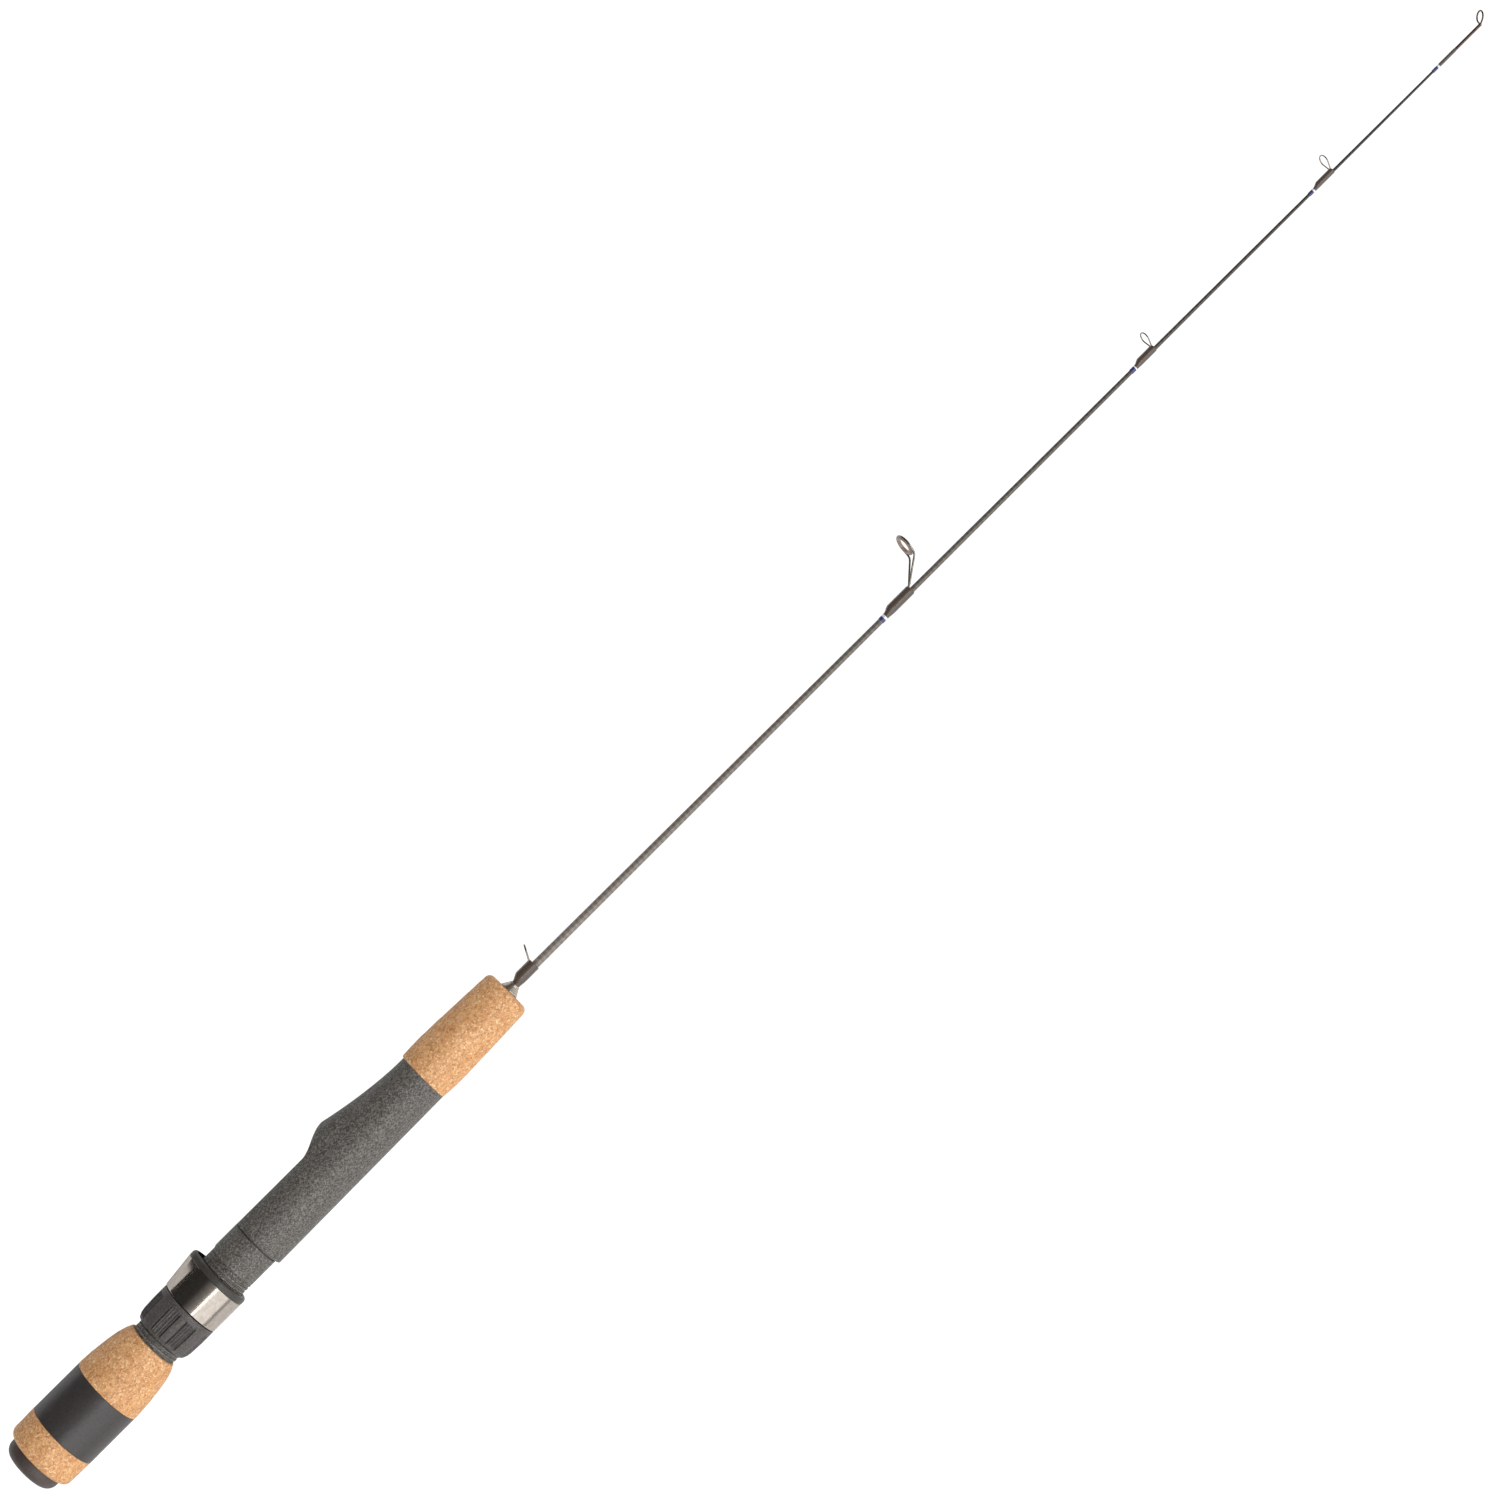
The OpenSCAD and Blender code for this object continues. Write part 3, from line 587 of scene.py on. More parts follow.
SEAT_BORE_R = 5.8
THREAD_R = 9.05
THREAD_DEPTH = 0.45
THREAD_PITCH = 1.5
THREAD_LEN = 37.0
NECK_LEN = 11.3
GROOVE_LEN = 0.7         # the groove that parts the neck from the barrel
GROOVE_DEPTH = 0.45
BARREL_R_REAR = 10.4
BARREL_R_FRONT = 9.65
BARREL_EDGE = 0.45       # rounding of the barrel's rear edge
KEY_Y = 8.65             # height of the flat that keeps the hood from turning
SADDLE_Y = 8.95          # height of the flat that the reel's foot rests on
LOBE_Y = 5.0             # height of the axis of the fixed hood
HOOD_PEAK = 42.7         # distance from the barrel's rear to the fixed hood's peak
HOOD_PEAK_Y = 13.25
MOUTH_LEN = 13.0
FLANK_LEN = 18.0
FLANK_R = 6.1
POCKET_R = 5.3
POCKET_Y = 6.35
POCKET_BACK = 5.0
POCKET_MOUTH = 14.0
POCKET_DEPTH = 12.0
POCKET_TILT = math.radians(9)

thread_x = span("front_cork")[1]
neck_x = thread_x + THREAD_LEN
barrel_x = neck_x + NECK_LEN
seat_end = span("foregrip")[0]
peak_x = barrel_x + HOOD_PEAK


def smooth_min(a, b, size):
    h = np.clip(size - np.abs(a - b), 0, None) / size
    return np.minimum(a, b) - h * h * size / 4


def smooth_max(a, b, size):
    return -smooth_min(-a, -b, size)


def under_flat(r, height, angles, size):
    """The radius r with a flat cut across it at a height above the axis."""
    top = np.cos(angles)
    flat = np.where(top > 0.2, height / np.maximum(top, 0.2), 99)
    return smooth_min(r, flat, size)


def lobe_radius(x, angles):
    """Distance from the rod's axis to the fixed hood's surface."""
    before = FLANK_R + (HOOD_PEAK_Y - LOBE_Y - FLANK_R) * smooth((x - peak_x + FLANK_LEN) / FLANK_LEN)
    t = np.clip((x - peak_x) / (seat_end - peak_x), 0, 1)
    ramp_y = SADDLE_Y + 0.05 + (HOOD_PEAK_Y - SADDLE_Y - 0.05) * (1 - t) ** 1.8
    r = np.where(x < peak_x, before, ramp_y - LOBE_Y)
    inside = r * r - (LOBE_Y * np.sin(angles)) ** 2
    reach = LOBE_Y * np.cos(angles) + np.sqrt(np.maximum(inside, 0))
    reach = np.where((inside > 0) & (x > peak_x - FLANK_LEN), reach, 0)
    cheek_y = SADDLE_Y + (HOOD_PEAK_Y - SADDLE_Y) * smooth((x - peak_x + MOUTH_LEN) / MOUTH_LEN)
    cheek_y = np.where(x < peak_x, cheek_y, 99)
    return under_flat(reach, cheek_y, angles, 0.2)


def seat_radius(x, angles):
    """Radius of the outside of the reel seat."""
    turn = (x - thread_x - 0.2) / THREAD_PITCH - angles / (2 * math.pi)
    ridge = smooth(0.75 + 1.3 * np.cos(2 * math.pi * (turn - 0.42)))
    run_out = smooth((x - neck_x + 1.2) / 1.2)
    thread = THREAD_R - THREAD_DEPTH * (1 - np.maximum(ridge, run_out))
    thread = under_flat(thread, KEY_Y + 0.4 * smooth((x - neck_x) / 0.6), angles, 0.1)
    thread = thread - GROOVE_DEPTH * smooth((x - barrel_x + GROOVE_LEN) / 0.15)
    barrel = BARREL_R_REAR + (BARREL_R_FRONT - BARREL_R_REAR) * (x - barrel_x) / (seat_end - barrel_x)
    edge = np.clip((x - barrel_x) / BARREL_EDGE, 0, 1)
    barrel = barrel - BARREL_EDGE * (1 - np.sqrt(1 - (1 - edge) ** 2))
    barrel = under_flat(barrel, SADDLE_Y, angles, 0.25)
    barrel = smooth_max(barrel, lobe_radius(x, angles), 0.35)
    return np.where(x < barrel_x, thread, barrel)


def seat_angles():
    """Angles round the seat, closer together on the side that carries the flats and the hood."""
    fine = np.radians(np.arange(-58, 58.1, 1.0))
    coarse = np.radians(np.arange(61, 300, 2.5))
    return np.concatenate([fine, coarse])


def channel(x, y, tilt, bottom, start, end, count):
    """A tool for a channel under a round roof, along a tilted axis through (x, y), down to bottom."""
    steps = np.linspace(-1, 1, 25)
    rings = []
    for along in np.linspace(start, end, count):
        axis_x = x + along * math.cos(tilt)
        axis_y = y + along * math.sin(tilt)
        half = math.acos(np.clip((bottom - axis_y) / POCKET_R, -1, 1))
        rings.append([(axis_x, axis_y + POCKET_R * math.cos(half * s), POCKET_R * math.sin(half * s))
                      for s in steps])
    rings = np.array(rings)
    ends = [np.repeat(rings[i].mean(0)[None, None], rings.shape[1], 1) for i in (0, -1)]
    return np.concatenate([ends[0], rings, ends[1]])


def foot_cutter():
    """A tool for the pocket that takes the end of the reel's foot, and for the open slot behind it."""
    return channel(peak_x - POCKET_BACK, POCKET_Y, -POCKET_TILT, SADDLE_Y, -POCKET_MOUTH, POCKET_DEPTH, 14)


def cut(target, rings):
    """Takes a solid made of rings away from a piece."""
    tool = bpy.data.objects.new("tool", mesh_of("tool", [(rings, False)]))
    bpy.context.scene.collection.objects.link(tool)
    modifier = target.modifiers.new("cut", "BOOLEAN")
    modifier.operation = "DIFFERENCE"
    modifier.solver = "EXACT"
    modifier.object = tool
    applied = bpy.data.meshes.new_from_object(target.evaluated_get(bpy.context.evaluated_depsgraph_get()))
    target.modifiers.clear()
    applied.name = target.data.name
    target.data = applied
    bpy.data.objects.remove(tool)
    applied.set_sharp_from_angle(angle=math.radians(32))


def add_reel_seat():
    angles = seat_angles()
    tail = outline((thread_x - SEAT_TAIL_LEN, SEAT_TAIL_R), (thread_x, SEAT_TAIL_R))
    stations = np.concatenate([
        np.arange(thread_x, neck_x, 0.125), np.arange(neck_x, barrel_x - 0.9, 0.8),
        barrel_x - GROOVE_LEN + np.array([0, 0.05, 0.1, 0.15]), [barrel_x - 1e-4],
        barrel_x + BARREL_EDGE * (1 - np.cos(np.linspace(0.02, math.pi / 2, 7))),
        np.arange(barrel_x + 1.2, peak_x - FLANK_LEN, 1.0), np.arange(peak_x - FLANK_LEN, peak_x + 2, 0.4),
        np.arange(peak_x + 2, seat_end - 0.5, 0.9), [seat_end - 0.2, seat_end]])
    skin = ring_points(stations[:, None], seat_radius(stations[:, None], angles[None]), angles)
    bore = outline((seat_end, SEAT_BORE_R), (thread_x - SEAT_TAIL_LEN, SEAT_BORE_R))
    rings = np.concatenate([around(tail, angles), skin, around(bore, angles)])
    seat = piece("reel_seat", [(rings, True)])
    cut(seat, foot_cutter())


# ---- Lock nut and sliding hood ----

NUT_ROUND = 480          # points round the nut
NUT_BORE_R = 9.14
NUT_COLLAR = 2.0
NUT_TURN = 95.5          # angle of one of its four narrow pads
NUT_PANEL_START = 7.0    # each quarter has two ribbed panels, in degrees from the middle of its narrow pad
NUT_PANEL_END = 31.5
NUT_PANEL_DEPTH = 0.45
NUT_BORDER_DEPTH = 0.35  # further depth of the groove along both sides of a panel
NUT_RIB_HEIGHT = 0.35
NUT_RIB_TURN = 5.0


def nut_relief(x, angles):
    """The nut's grip: eight ribbed panels between four wide and four narrow pads."""
    x0, x1, _ = span("lock_nut")
    turn = np.abs((np.degrees(angles) - NUT_TURN + 45) % 90 - 45)
    from_edge = np.minimum(turn - NUT_PANEL_START, NUT_PANEL_END - turn)
    panel = smooth(from_edge / 1.2 + 0.5)
    border = np.exp(-((from_edge - 1.4) / 1.1) ** 2)
    ribs = 0.5 - 0.5 * np.cos(2 * math.pi * (from_edge - 1.4) / NUT_RIB_TURN)
    depth = NUT_PANEL_DEPTH * panel + NUT_BORDER_DEPTH * border - NUT_RIB_HEIGHT * ribs * panel
    along = smooth((x - x0 - 1.0) / 0.5) * smooth((x1 - NUT_COLLAR - x) / 0.5)
    return -depth * along


def add_lock_nut():
    x0, x1, r = span("lock_nut")
    angles = round_angles(NUT_ROUND)
    outer = outline((x0, r - 1.7), arc(x0 + 0.45, r - 1.5, 0.45, 170, 125, 3), (x0 + 1.6, r - 0.5),
                    (x0 + 3.2, r - 0.22), (x0 + 8, r), (x1 - NUT_COLLAR, r),
                    arc(x1 - 0.35, r - 0.35, 0.35, 90, 0, 4))
    outer = refine(outer, 0.35)
    skin = ring_points(outer[:, :1], outer[:, 1:] + nut_relief(outer[:, :1], angles[None]), angles)
    bore = around(outline((x1, NUT_BORE_R), (x0, NUT_BORE_R)), angles)
    piece("lock_nut", [(np.concatenate([skin, bore]), True)], "nut", sharp=40)


HOOD_ROUND = 240         # points round the hood
HOOD_LOBE_R = 6.5
SHELL_WALL = 0.7
SHELL_TOP_REAR = 11.4
KEY_CLEARANCE = 0.25
LINER_BORE_R = 9.3
LINER_KEY_LEN = 2.5      # length of the bore, from its rear, that has the key's flat
LINER_POCKET_START = 4.2
LINER_POCKET_LEN = 20    # reaches past the liner's front
LINER_POCKET_Y = 5.35
LINER_POCKET_TILT = math.radians(5)


def egg_radius(angles, r, top, lobe_r=HOOD_LOBE_R):
    """Distance to an egg-shaped outline: a circle of radius r, a smaller one that reaches up to top, and the
    straight lines that touch both."""
    rise = top - lobe_r
    turn = np.arccos(np.clip((r - lobe_r) / np.maximum(rise, 1e-6), -1, 1))
    a = np.abs((angles + math.pi) % (2 * math.pi) - math.pi)
    lobe_end = np.arctan2(lobe_r * np.sin(turn), rise + lobe_r * np.cos(turn))
    inside = np.maximum(lobe_r ** 2 - (rise * np.sin(a)) ** 2, 0)
    lobe = rise * np.cos(a) + np.sqrt(inside)
    line = r / np.cos(np.clip(a - turn, -1.4, 1.4))
    return np.where(a < lobe_end, lobe, np.where(a < turn, line, r))


def add_hood_shell():
    x0, x1, r = span("hood_shell")
    top_front = heights("hood_shell")[1]
    angles = round_angles(HOOD_ROUND)
    edge = 0.22
    lead = np.radians(np.linspace(0, 90, 6))
    outer = [(x0 + edge - edge * math.cos(a), edge - edge * math.sin(a)) for a in lead]
    outer += [(x, 0.0) for x in np.linspace(x0 + edge, x1 - edge, 24)[1:-1]]
    outer += [(x1 - edge + edge * math.sin(a), edge - edge * math.cos(a)) for a in lead]
    inner = [(x1, SHELL_WALL), (x0, SHELL_WALL)]
    rings = []
    for x, inset in outer + inner:
        top = SHELL_TOP_REAR + (top_front - SHELL_TOP_REAR) * (x - x0) / (x1 - x0)
        reach = egg_radius(angles, r - inset, top - inset, HOOD_LOBE_R - inset)
        rings.append(ring_at(x, reach, angles))
    piece("hood_shell", [(np.array(rings), True)], "hood")


def liner_cutter():
    """A tool for the liner's pocket, open at its front, which takes the end of the reel's foot."""
    x0 = span("hood_liner")[0] + LINER_POCKET_START
    return channel(x0, LINER_POCKET_Y, LINER_POCKET_TILT, KEY_Y, 0, LINER_POCKET_LEN, 10)


def add_hood_liner():
    x0, x2, _ = span("hood_liner")
    x1, r = span("hood_shell")[1:]
    top_front = heights("hood_shell")[1]
    angles = round_angles(HOOD_ROUND)
    lip, chamfer = 1.1, 0.12
    inset = SHELL_WALL + GLUE
    lead = np.radians(np.linspace(0, 90, 9))
    outer = [(x0, inset), (x1 + GLUE, inset), (x1 + GLUE, chamfer), (x1 + GLUE + chamfer, 0.0)]
    outer += [(x2 - lip + lip * math.sin(a), lip - lip * math.cos(a)) for a in lead]
    rings = []
    for x, inward in outer:
        top = SHELL_TOP_REAR + (top_front - SHELL_TOP_REAR) * min(1, (x - x0) / (x1 - x0))
        reach = egg_radius(angles, r - inward, top - inward, HOOD_LOBE_R - inward)
        rings.append(ring_at(x, reach, angles))
    key_end = x0 + LINER_KEY_LEN
    for x in (x2, key_end, key_end - 1e-3, x0):
        reach = np.full(len(angles), LINER_BORE_R)
        if x < key_end:
            reach = under_flat(reach, KEY_Y + KEY_CLEARANCE, angles, 0.02)
        rings.append(ring_at(x, reach, angles))
    liner = piece("hood_liner", [(np.array(rings), True)], "hood")
    cut(liner, liner_cutter())


# ---- Foregrip, winding check and blank ----

FOREGRIP_BELLY = 8.5
FOREGRIP_REAR_DROP = 0.35
FOREGRIP_FRONT_DROP = 1.15
FOREGRIP_CORNER = 2.2


def add_foregrip():
    x0, x1, r = span("foregrip")
    length = x1 - x0
    x = np.linspace(0, length - FOREGRIP_CORNER, 60)
    rear = r - FOREGRIP_REAR_DROP * (1 - x / FOREGRIP_BELLY) ** 2
    front = r - FOREGRIP_FRONT_DROP * (np.maximum(x - FOREGRIP_BELLY, 0) / (length - FOREGRIP_BELLY)) ** 1.25
    profile = np.where(x < FOREGRIP_BELLY, rear, front)
    corner = arc(x1 - FOREGRIP_CORNER, profile[-1] - FOREGRIP_CORNER, FOREGRIP_CORNER, 75, 0, 8)
    outer = outline(arc(x0 + 0.3, profile[0] - 0.3, 0.3, 180, 110, 3),
                    np.stack([x0 + x[1:], profile[1:]], -1), corner)
    tube_piece("foregrip", outer, bore_of(x0, x1), cork_relief(51), CORK_STEP)


def add_winding_check():
    x0, x1, r = span("winding_check")
    front_r = blank_r(x1) + 0.35
    outer = outline((x0, r - 0.15), arc(x0 + 0.25, r - 0.2, 0.2, 150, 60, 4), (x1 - 0.9, front_r + 0.38),
                    arc(x1 - 0.35, front_r - 0.2, 0.35, 75, 0, 4))
    tube_piece("winding_check", outer, bore_of(x0, x1), step=0.3)


def add_blank():
    r0, r1 = blank_r(blank_start), blank_r(blank_end)
    skin = refine(outline((blank_start, 0), (blank_start, r0), (blank_end - 0.15, r1), (blank_end, r1 - 0.15),
                          (blank_end, 0)), 2.0)

    def winding(x, r, angles):
        turn = x[:, None] / 7.0 - angles[None] / (2 * math.pi)
        return 0.006 * np.cos(2 * math.pi * turn) * (r > 0.3)[:, None]
    piece("blank", [(turned(skin, winding, 28), False)])


# ---- Wire work ----

def stood(points, x, y, lean, turn):
    """Stands points of a flat shape up at (x, y), leaning towards the tip and turned about its upright."""
    across, up = points[:, 0], points[:, 1]
    lean, turn = math.radians(lean), math.radians(turn)
    ahead = across * math.sin(turn)
    return np.stack([x + ahead * math.cos(lean) + up * math.sin(lean),
                     y - ahead * math.sin(lean) + up * math.cos(lean), across * math.cos(turn)], -1)


def loop_path(foot_x, base, ring, rise, gap, lean, turn, bend=0.8):
    """The path of one wire: along the blank, up into an open loop, and back along the blank."""
    reach = math.hypot(gap, rise)
    spread = math.asin(ring / reach) - math.atan2(gap, rise)
    round_part = np.linspace(-spread, math.pi + spread, 33)
    arc_points = np.stack([ring * np.cos(round_part), rise + ring * np.sin(round_part)], -1)
    feet = np.array([(gap, 0.0), (-gap, 0.0)])
    x, y = base
    head = stood(arc_points, x, y, lean, turn)
    start, end = stood(feet, x, y, lean, turn)
    start_foot, end_foot = start.copy(), end.copy()
    start_foot[0] = end_foot[0] = foot_x
    return np.concatenate([start_foot[None], bend_at(start_foot, start, head[0], bend), head,
                           bend_at(head[-1], end, end_foot, bend), end_foot[None]])


GUIDE_TURN = 12          # the guides are bound on turned a little about their own uprights
WRAP_RIPPLE = 0.012      # height of the thread's turns under the epoxy
WRAP_REAR = 0.3          # length of a wrap's thin rear edge
WRAP_FRONT = 0.6         # length of its rounded front
THREAD_WIDTH = 0.22
TRIM_THREAD_WIDTH = 0.2
TRIM_RIPPLE = 0.022


def add_wrap(node, slope):
    """Thread and epoxy over a guide's foot: round on the blank, then raised where it climbs over the foot."""
    low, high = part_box(node)
    x0, x1 = low.x / MM, high.x / MM
    under, over = -low.y / MM, high.y / MM
    front = x1 - WRAP_FRONT
    x = np.concatenate([x0 + np.linspace(0, WRAP_REAR, 5), np.arange(x0 + WRAP_REAR + 0.04, front, 0.055),
                        front + WRAP_FRONT * np.sin(np.linspace(0, math.pi / 2, 8))])[:, None]
    angles = round_angles(32)
    full = under + (over - under) * (0.5 + 0.5 * np.cos(angles)) ** 1.4
    thin = blank_r(x) + 0.13
    climb = smooth((x - x0 - 0.25) / slope)
    r = thin + (full - thin) * climb
    r = r - 0.1 * np.clip(1 - (x - x0) / WRAP_REAR, 0, 1) ** 2
    close = np.clip((x - front) / WRAP_FRONT, 0, 1)
    r = r - (r - blank_r(x)) * 0.45 * (1 - np.sqrt(1 - close ** 2))
    inner = (x > x0 + WRAP_REAR) & (x < front)
    turns = x / THREAD_WIDTH - angles / (2 * math.pi)
    r = r + np.where(inner, WRAP_RIPPLE * np.cos(2 * math.pi * turns), 0)
    bore = around(bore_of(x0, x1, WRAP_GLUE), angles)
    piece(node, [(np.concatenate([ring_points(x, r, angles), bore]), True)])


def add_trim(node):
    """A narrow band of thread round the blank."""
    x0, x1, r = span(node)
    turns = max(2, round((x1 - x0) / TRIM_THREAD_WIDTH))
    x = np.linspace(x0, x1, turns * 6 + 1)
    ripple = TRIM_RIPPLE * np.abs(np.sin(math.pi * turns * (x - x0) / (x1 - x0)))
    outer = np.stack([x, np.maximum(r - TRIM_RIPPLE + ripple, blank_r(x0) + 0.08)], -1)
    piece(node, [(turned(outline(outer, bore_of(x0, x1, WRAP_GLUE)), count=36), True)])


KEEPER_WIRE_R = 0.32
KEEPER_RING = 1.9
KEEPER_LEAN = 28
KEEPER_GAP = 0.55


def add_hook_keeper():
    x1 = span("keeper_wrap")[1]
    foot_x = span("hook_keeper")[0]
    top = heights("hook_keeper")[1]
    base = (x1 - 0.9, blank_r(span("keeper_wrap")[0]) + 0.35)
    rise = (top - base[1]) / math.cos(math.radians(KEEPER_LEAN)) - KEEPER_WIRE_R - KEEPER_RING
    path = loop_path(foot_x, base, KEEPER_RING, rise, KEEPER_GAP, KEEPER_LEAN, 0)
    piece("hook_keeper", [(swept(path, KEEPER_WIRE_R), False)])
    add_wrap("keeper_wrap", slope=3.0)


# ---- First guide ----

LEG_WIRE_R = 0.36
HOOP_WIRE_R = 0.4
HOOP_R = 3.75
RING_LEAN = 6
RING_HOLE_R = 2.55
RING_HALF_LEN = 0.7
LEG_KNEE = 3.1
FOOT_SPREAD = 0.46       # of the two legs' feet, to each side of the middle


def ring_centre():
    """(x, y) of the middle of the first guide's ring."""
    low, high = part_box("guide_1_ring")
    return (low.x + high.x) / 2 / MM, (low.y + high.y) / 2 / MM


def ring_place(rings):
    """Puts a shape turned about the local Z axis where the first guide's ring is."""
    x, y = ring_centre()
    lean, turn = math.radians(RING_LEAN), math.radians(GUIDE_TURN)
    aimed = Matrix.Rotation(-lean, 4, "Z") @ Matrix.Rotation(turn - math.pi / 2, 4, "Y")
    placed = Matrix.Translation((x, y, 0)) @ aimed
    flat = rings.reshape(-1, 3)
    moved = flat @ np.array(placed.to_3x3()).T + np.array(placed.translation)
    return moved.reshape(rings.shape)


def about_z(points, count=96):
    """Rings of an outline of (z, radius) turned about the local Z axis."""
    angles = round_angles(count)
    z, r = points[:, :1], points[:, 1:]
    shape = (len(points), count)
    return np.stack([np.broadcast_to(r * np.cos(angles), shape), np.broadcast_to(r * np.sin(angles), shape),
                     np.broadcast_to(z, shape)], -1)


def leg_path(side):
    """One leg of the first guide's frame, from its foot to the side of the hoop."""
    wrap_end = span("guide_1_wrap")[1]
    foot_x = span("guide_1_frame")[0]
    foot_y = blank_r(wrap_end) + LEG_WIRE_R + 0.12
    x, y = ring_centre()
    turn = math.sin(math.radians(GUIDE_TURN))
    foot = (foot_x, foot_y, side * FOOT_SPREAD)
    heel = (wrap_end + 0.1, foot_y, side * FOOT_SPREAD)
    knee = (x - 0.55 + side * LEG_KNEE * turn, y - 4.3, side * LEG_KNEE)
    hip = (x - 0.15 + side * HOOP_R * turn, y - 1, side * HOOP_R)
    shoulder = (x + side * HOOP_R * turn, y + 0.4, side * HOOP_R)
    return np.concatenate([np.array([foot]), bend_at(foot, heel, knee, 0.9), bend_at(heel, knee, hip, 1.4),
                           bend_at(knee, hip, shoulder, 0.8)])


def add_first_guide():
    hoop = outline(arc(0, HOOP_R, HOOP_WIRE_R, 0, 330, 11))
    legs = [(swept(leg_path(side), LEG_WIRE_R), False) for side in (-1, 1)]
    piece("guide_1_frame", legs + [(ring_place(about_z(hoop)), True)])
    outer_r = HOOP_R - 0.22
    corner = (outer_r - RING_HOLE_R) / 2
    middle = RING_HOLE_R + corner
    section = outline(arc(RING_HALF_LEN - corner, middle, corner, 0, 90, 7),
                      arc(corner - RING_HALF_LEN, middle, corner, 90, 270, 14),
                      arc(RING_HALF_LEN - corner, middle, corner, -90, -8, 7))
    piece("guide_1_ring", [(ring_place(about_z(section)), True)])
    add_wrap("guide_1_wrap", slope=3.2)


# ---- Second and third guides ----

LOOP_GAP = 0.26          # half the distance between a loop's two feet


def add_loop_guide(name, wire_r, ring, lean):
    """A guide of one bent wire, with its wrap."""
    wrap_start, wrap_end, _ = span(name + "_wrap")
    foot_x = span(name + "_loop")[0]
    top = heights(name + "_loop")[1]
    foot_y = blank_r(wrap_start) + wire_r + 0.06
    rise = (top - foot_y) / math.cos(math.radians(lean)) - wire_r - ring
    path = loop_path(foot_x, (wrap_end - 0.5, foot_y), ring, rise, LOOP_GAP, lean, GUIDE_TURN)
    piece(name + "_loop", [(swept(path, wire_r), False)])
    add_wrap(name + "_wrap", slope=2.6)


# ---- Tip-top ----

TIP_WIRE_R = 0.3
TIP_RING = 2.1
TIP_RISE = 2.6
TIP_LEAN = 43
TIP_GAP = 0.3
TIP_RIPPLE = 0.01


def add_tip():
    x0, x1, r = span("tip_tube")
    outer = outline((x0, r - 0.05), arc(x0 + 0.06, r - 0.06, 0.06, 180, 90, 3), (x1 - 0.3, r),
                    arc(x1 - 0.22, r - 0.22, 0.22, 90, 0, 5), (x1, 0))
    bore = outline((blank_end + GLUE, 0), (blank_end + GLUE, blank_r(x0) + 0.02), (x0, blank_r(x0) + 0.02))
    piece("tip_tube", [(turned(outline(bore, outer[0], refine(outer[1:], 0.5)), count=32), False)])
    path = loop_path(x1 - 0.5, (x1 - 0.1, 0.15), TIP_RING, TIP_RISE, TIP_GAP, TIP_LEAN, GUIDE_TURN, 0.3)
    piece("tip_loop", [(swept(path[1:-1], TIP_WIRE_R), False)])
    x0, x1, r = span("tip_wrap")
    x = np.concatenate([x0 + np.linspace(0, 0.3, 4), np.arange(x0 + 0.35, x1 - 0.3, 0.055), [x1 - 0.2, x1]])
    rise = r - 0.1 * (1 - smooth((x - x0) / 0.8)) - 0.1 * smooth((x - x1 + 0.5) / 0.5)
    ripple = TIP_RIPPLE * np.cos(2 * math.pi * x / THREAD_WIDTH)
    outer = np.stack([x, rise - TIP_RIPPLE + ripple], -1)
    piece("tip_wrap", [(turned(outline(outer, bore_of(x0, x1, WRAP_GLUE)), count=28), True)])


# ---- The whole rod ----

add_butt_cap()
add_rear_cork()
add_grip_band()
add_front_cork()
add_reel_seat()
add_lock_nut()
add_hood_shell()
add_hood_liner()
add_foregrip()
add_winding_check()
add_blank()
add_hook_keeper()
add_first_guide()
add_loop_guide("guide_2", wire_r=0.24, ring=2.2, lean=8)
add_loop_guide("guide_3", wire_r=0.22, ring=2.15, lean=10)
add_tip()
for end, colour in itertools.product(("guide_1", "guide_2", "guide_3", "tip"), ("blue", "silver")):
    add_trim(f"{end}_{colour}_trim")
for node in ("arbor_rear", "arbor_front"):
    for holder in frame["nodes"][node].material_slots:
        holder.material = materials["arbor"]


# ---- Floor, light and camera ----

CARD_LIFT = 0.0002       # metres from the floor to the black sheet of painted shade on it
floor_z = min(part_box(node)[0].z for node in frame["nodes"])


def add_sheet(name, x, y, z, mat):
    """A level rectangle. x and y are its (low, high), in metres."""
    mesh = bpy.data.meshes.new(name)
    corners = [(x[0], y[0], z), (x[1], y[0], z), (x[1], y[1], z), (x[0], y[1], z)]
    mesh.from_pydata(corners, [], [(0, 1, 2, 3)])
    mesh.materials.append(mat)
    sheet = bpy.data.objects.new(name, mesh)
    bpy.context.scene.collection.objects.link(sheet)
    return sheet


def add_floor():
    """A plain floor that the rod lies on. It is pure white to the camera, without shadows."""
    mat, tree, shader = new_material("floor", (214, 214, 214), roughness=0.9, specular_ior_level=0.1)
    white = add_node(tree, "ShaderNodeEmission", {"Color": (1, 1, 1, 1), "Strength": 1.1})
    ray = add_node(tree, "ShaderNodeLightPath").outputs["Is Camera Ray"]
    both = add_node(tree, "ShaderNodeMixShader", {0: ray, 1: shader.outputs[0], 2: white.outputs[0]})
    tree.links.new(both.outputs[0], tree.nodes["Material Output"].inputs["Surface"])
    add_sheet("floor", (-4, 5), (-4, 4), floor_z, mat)


def add_painted_shade_sheet(near, far):
    """A black sheet of painted shade on the floor beside the guides, from near to far. Only glossy surfaces
    show it, as a painted dark reflection on the guides' side.
    """
    mat, _, _ = new_material("painted_shade_sheet", (8, 8, 8), roughness=1.0, specular_ior_level=0.0)
    card = add_sheet("painted_shade_sheet", (-1, 2), (near, far), floor_z + CARD_LIFT, mat)
    card.visible_camera = False
    card.visible_diffuse = False
    card.visible_shadow = False


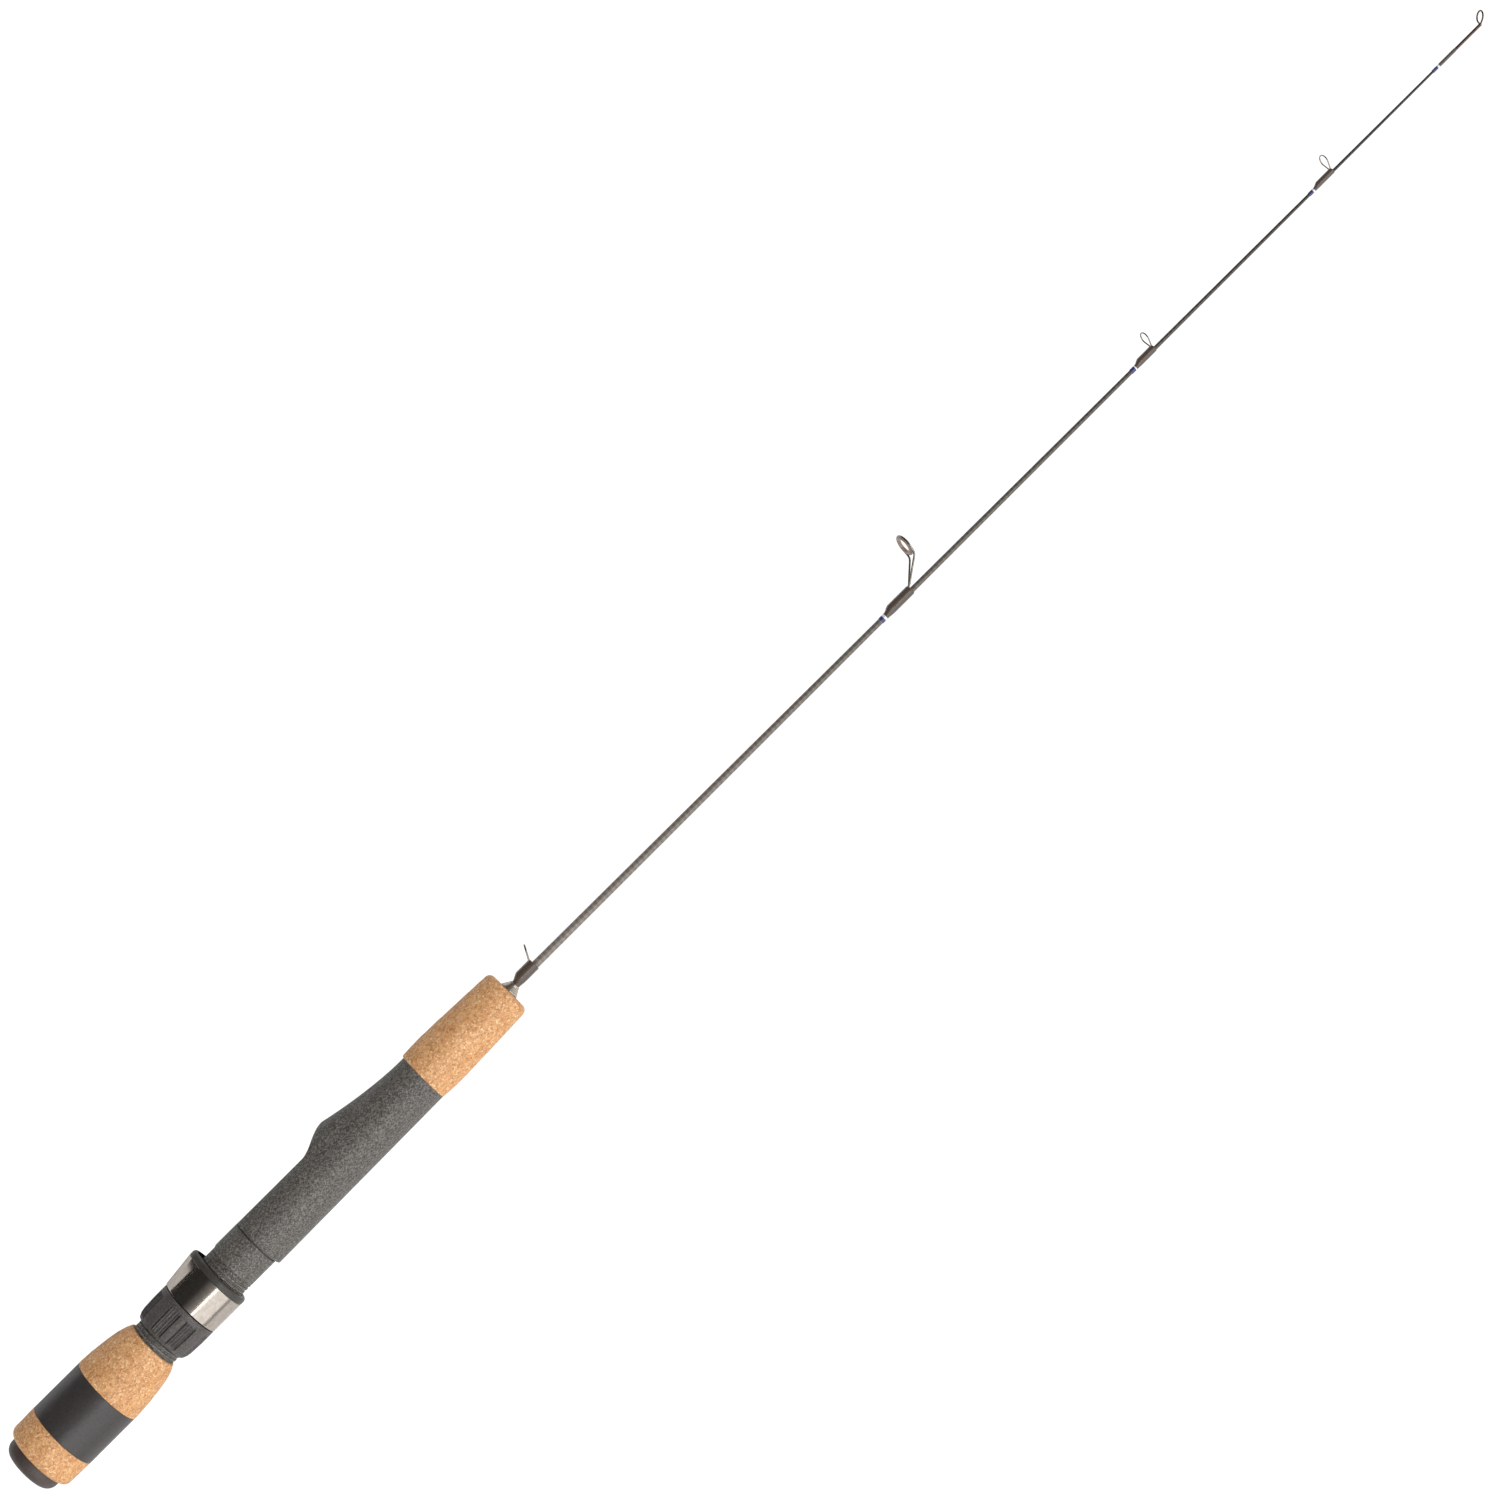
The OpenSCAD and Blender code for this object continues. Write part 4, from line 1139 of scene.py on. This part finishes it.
def add_softbox(name, from_zenith, wide, far, long, brightness):
    """A long soft light on the side away from the guides, which faces the rod. Its sizes are in metres."""
    low, high = cad_bounds
    lamp = bpy.data.lights.new(name, "AREA")
    lamp.shape = "RECTANGLE"
    lamp.size, lamp.size_y = long, wide
    lamp.energy = brightness * math.pi * long * wide
    holder = bpy.data.objects.new(name, lamp)
    angle = math.radians(from_zenith)
    holder.location = ((low[0] + high[0]) / 2, -far * math.sin(angle), far * math.cos(angle))
    holder.rotation_euler = (angle, 0, 0)
    holder.visible_camera = False
    bpy.context.scene.collection.objects.link(holder)


def add_world(near, far, mirrored_near, mirrored_far):
    """White to the camera. Its light is near on the side away from the guides and falls to far on their side.
    Glossy surfaces show the two mirrored values instead."""
    world = bpy.data.worlds.new("world")
    bpy.context.scene.world = world
    world.use_nodes = True
    tree = world.node_tree
    tree.nodes.clear()
    place = add_node(tree, "ShaderNodeTexCoord").outputs["Generated"]
    across = add_node(tree, "ShaderNodeSeparateXYZ", {"Vector": place}).outputs["Y"]
    ray = add_node(tree, "ShaderNodeLightPath").outputs
    fills = []
    for start, end in (near, far), (mirrored_near, mirrored_far):
        shade = add_node(tree, "ShaderNodeMapRange", {"Value": across, "From Min": -0.5, "From Max": 0.4,
                                                      "To Min": start, "To Max": end}).outputs[0]
        fill = add_node(tree, "ShaderNodeBackground", {"Color": (1, 1, 1, 1), "Strength": shade})
        fills.append(fill.outputs[0])
    seen = add_node(tree, "ShaderNodeBackground", {"Color": (1, 1, 1, 1), "Strength": 1})
    lit = add_node(tree, "ShaderNodeMixShader", {0: ray["Is Glossy Ray"], 1: fills[0], 2: fills[1]})
    seen_or_lit = {0: ray["Is Camera Ray"], 1: lit.outputs[0], 2: seen.outputs[0]}
    both = add_node(tree, "ShaderNodeMixShader", seen_or_lit)
    add_node(tree, "ShaderNodeOutputWorld", {"Surface": both.outputs[0]})


CAMERA_X = 0.2402        # metres along the rod, straight above which the camera hangs
CAMERA_HEIGHT = 1.0668
AIM_X = 0.3404
AIM_Y = 0.00025
LENS = 75.156            # millimetres, on a sensor SENSOR wide
SENSOR = 36
ROLL = math.radians(44.85)


def add_camera():
    """Looks down on the rod, which runs from the lower left of the picture to its upper right."""
    data = bpy.data.cameras.new("camera")
    data.sensor_width = SENSOR
    data.lens = LENS
    camera = bpy.data.objects.new("camera", data)
    bpy.context.scene.collection.objects.link(camera)
    eye, aim = Vector((CAMERA_X, AIM_Y, CAMERA_HEIGHT)), Vector((AIM_X, AIM_Y, 0))
    forward = (aim - eye).normalized()
    along = (Vector(X) - forward * forward.x).normalized()
    across = along.cross(forward)
    right = along * math.cos(ROLL) - across * math.sin(ROLL)
    up = along * math.sin(ROLL) + across * math.cos(ROLL)
    turn = Matrix((right, up, -forward)).transposed()
    camera.matrix_world = Matrix.Translation(eye) @ turn.to_4x4()
    bpy.context.scene.camera = camera


add_floor()
# a black sheet of painted shade, seen only as a dark reflection in glossy surfaces
add_painted_shade_sheet(near=0.1, far=1.2)
add_softbox("wide_softbox", from_zenith=48, wide=1.1, far=1.0, long=2.6, brightness=0.84)
add_softbox("key_strip", from_zenith=20, wide=0.06, far=0.75, long=2.2, brightness=4.0)
add_world(near=1.12, far=0.6, mirrored_near=0.4256, mirrored_far=0.03)
add_camera()
bpy.context.scene.view_settings.view_transform = "Standard"
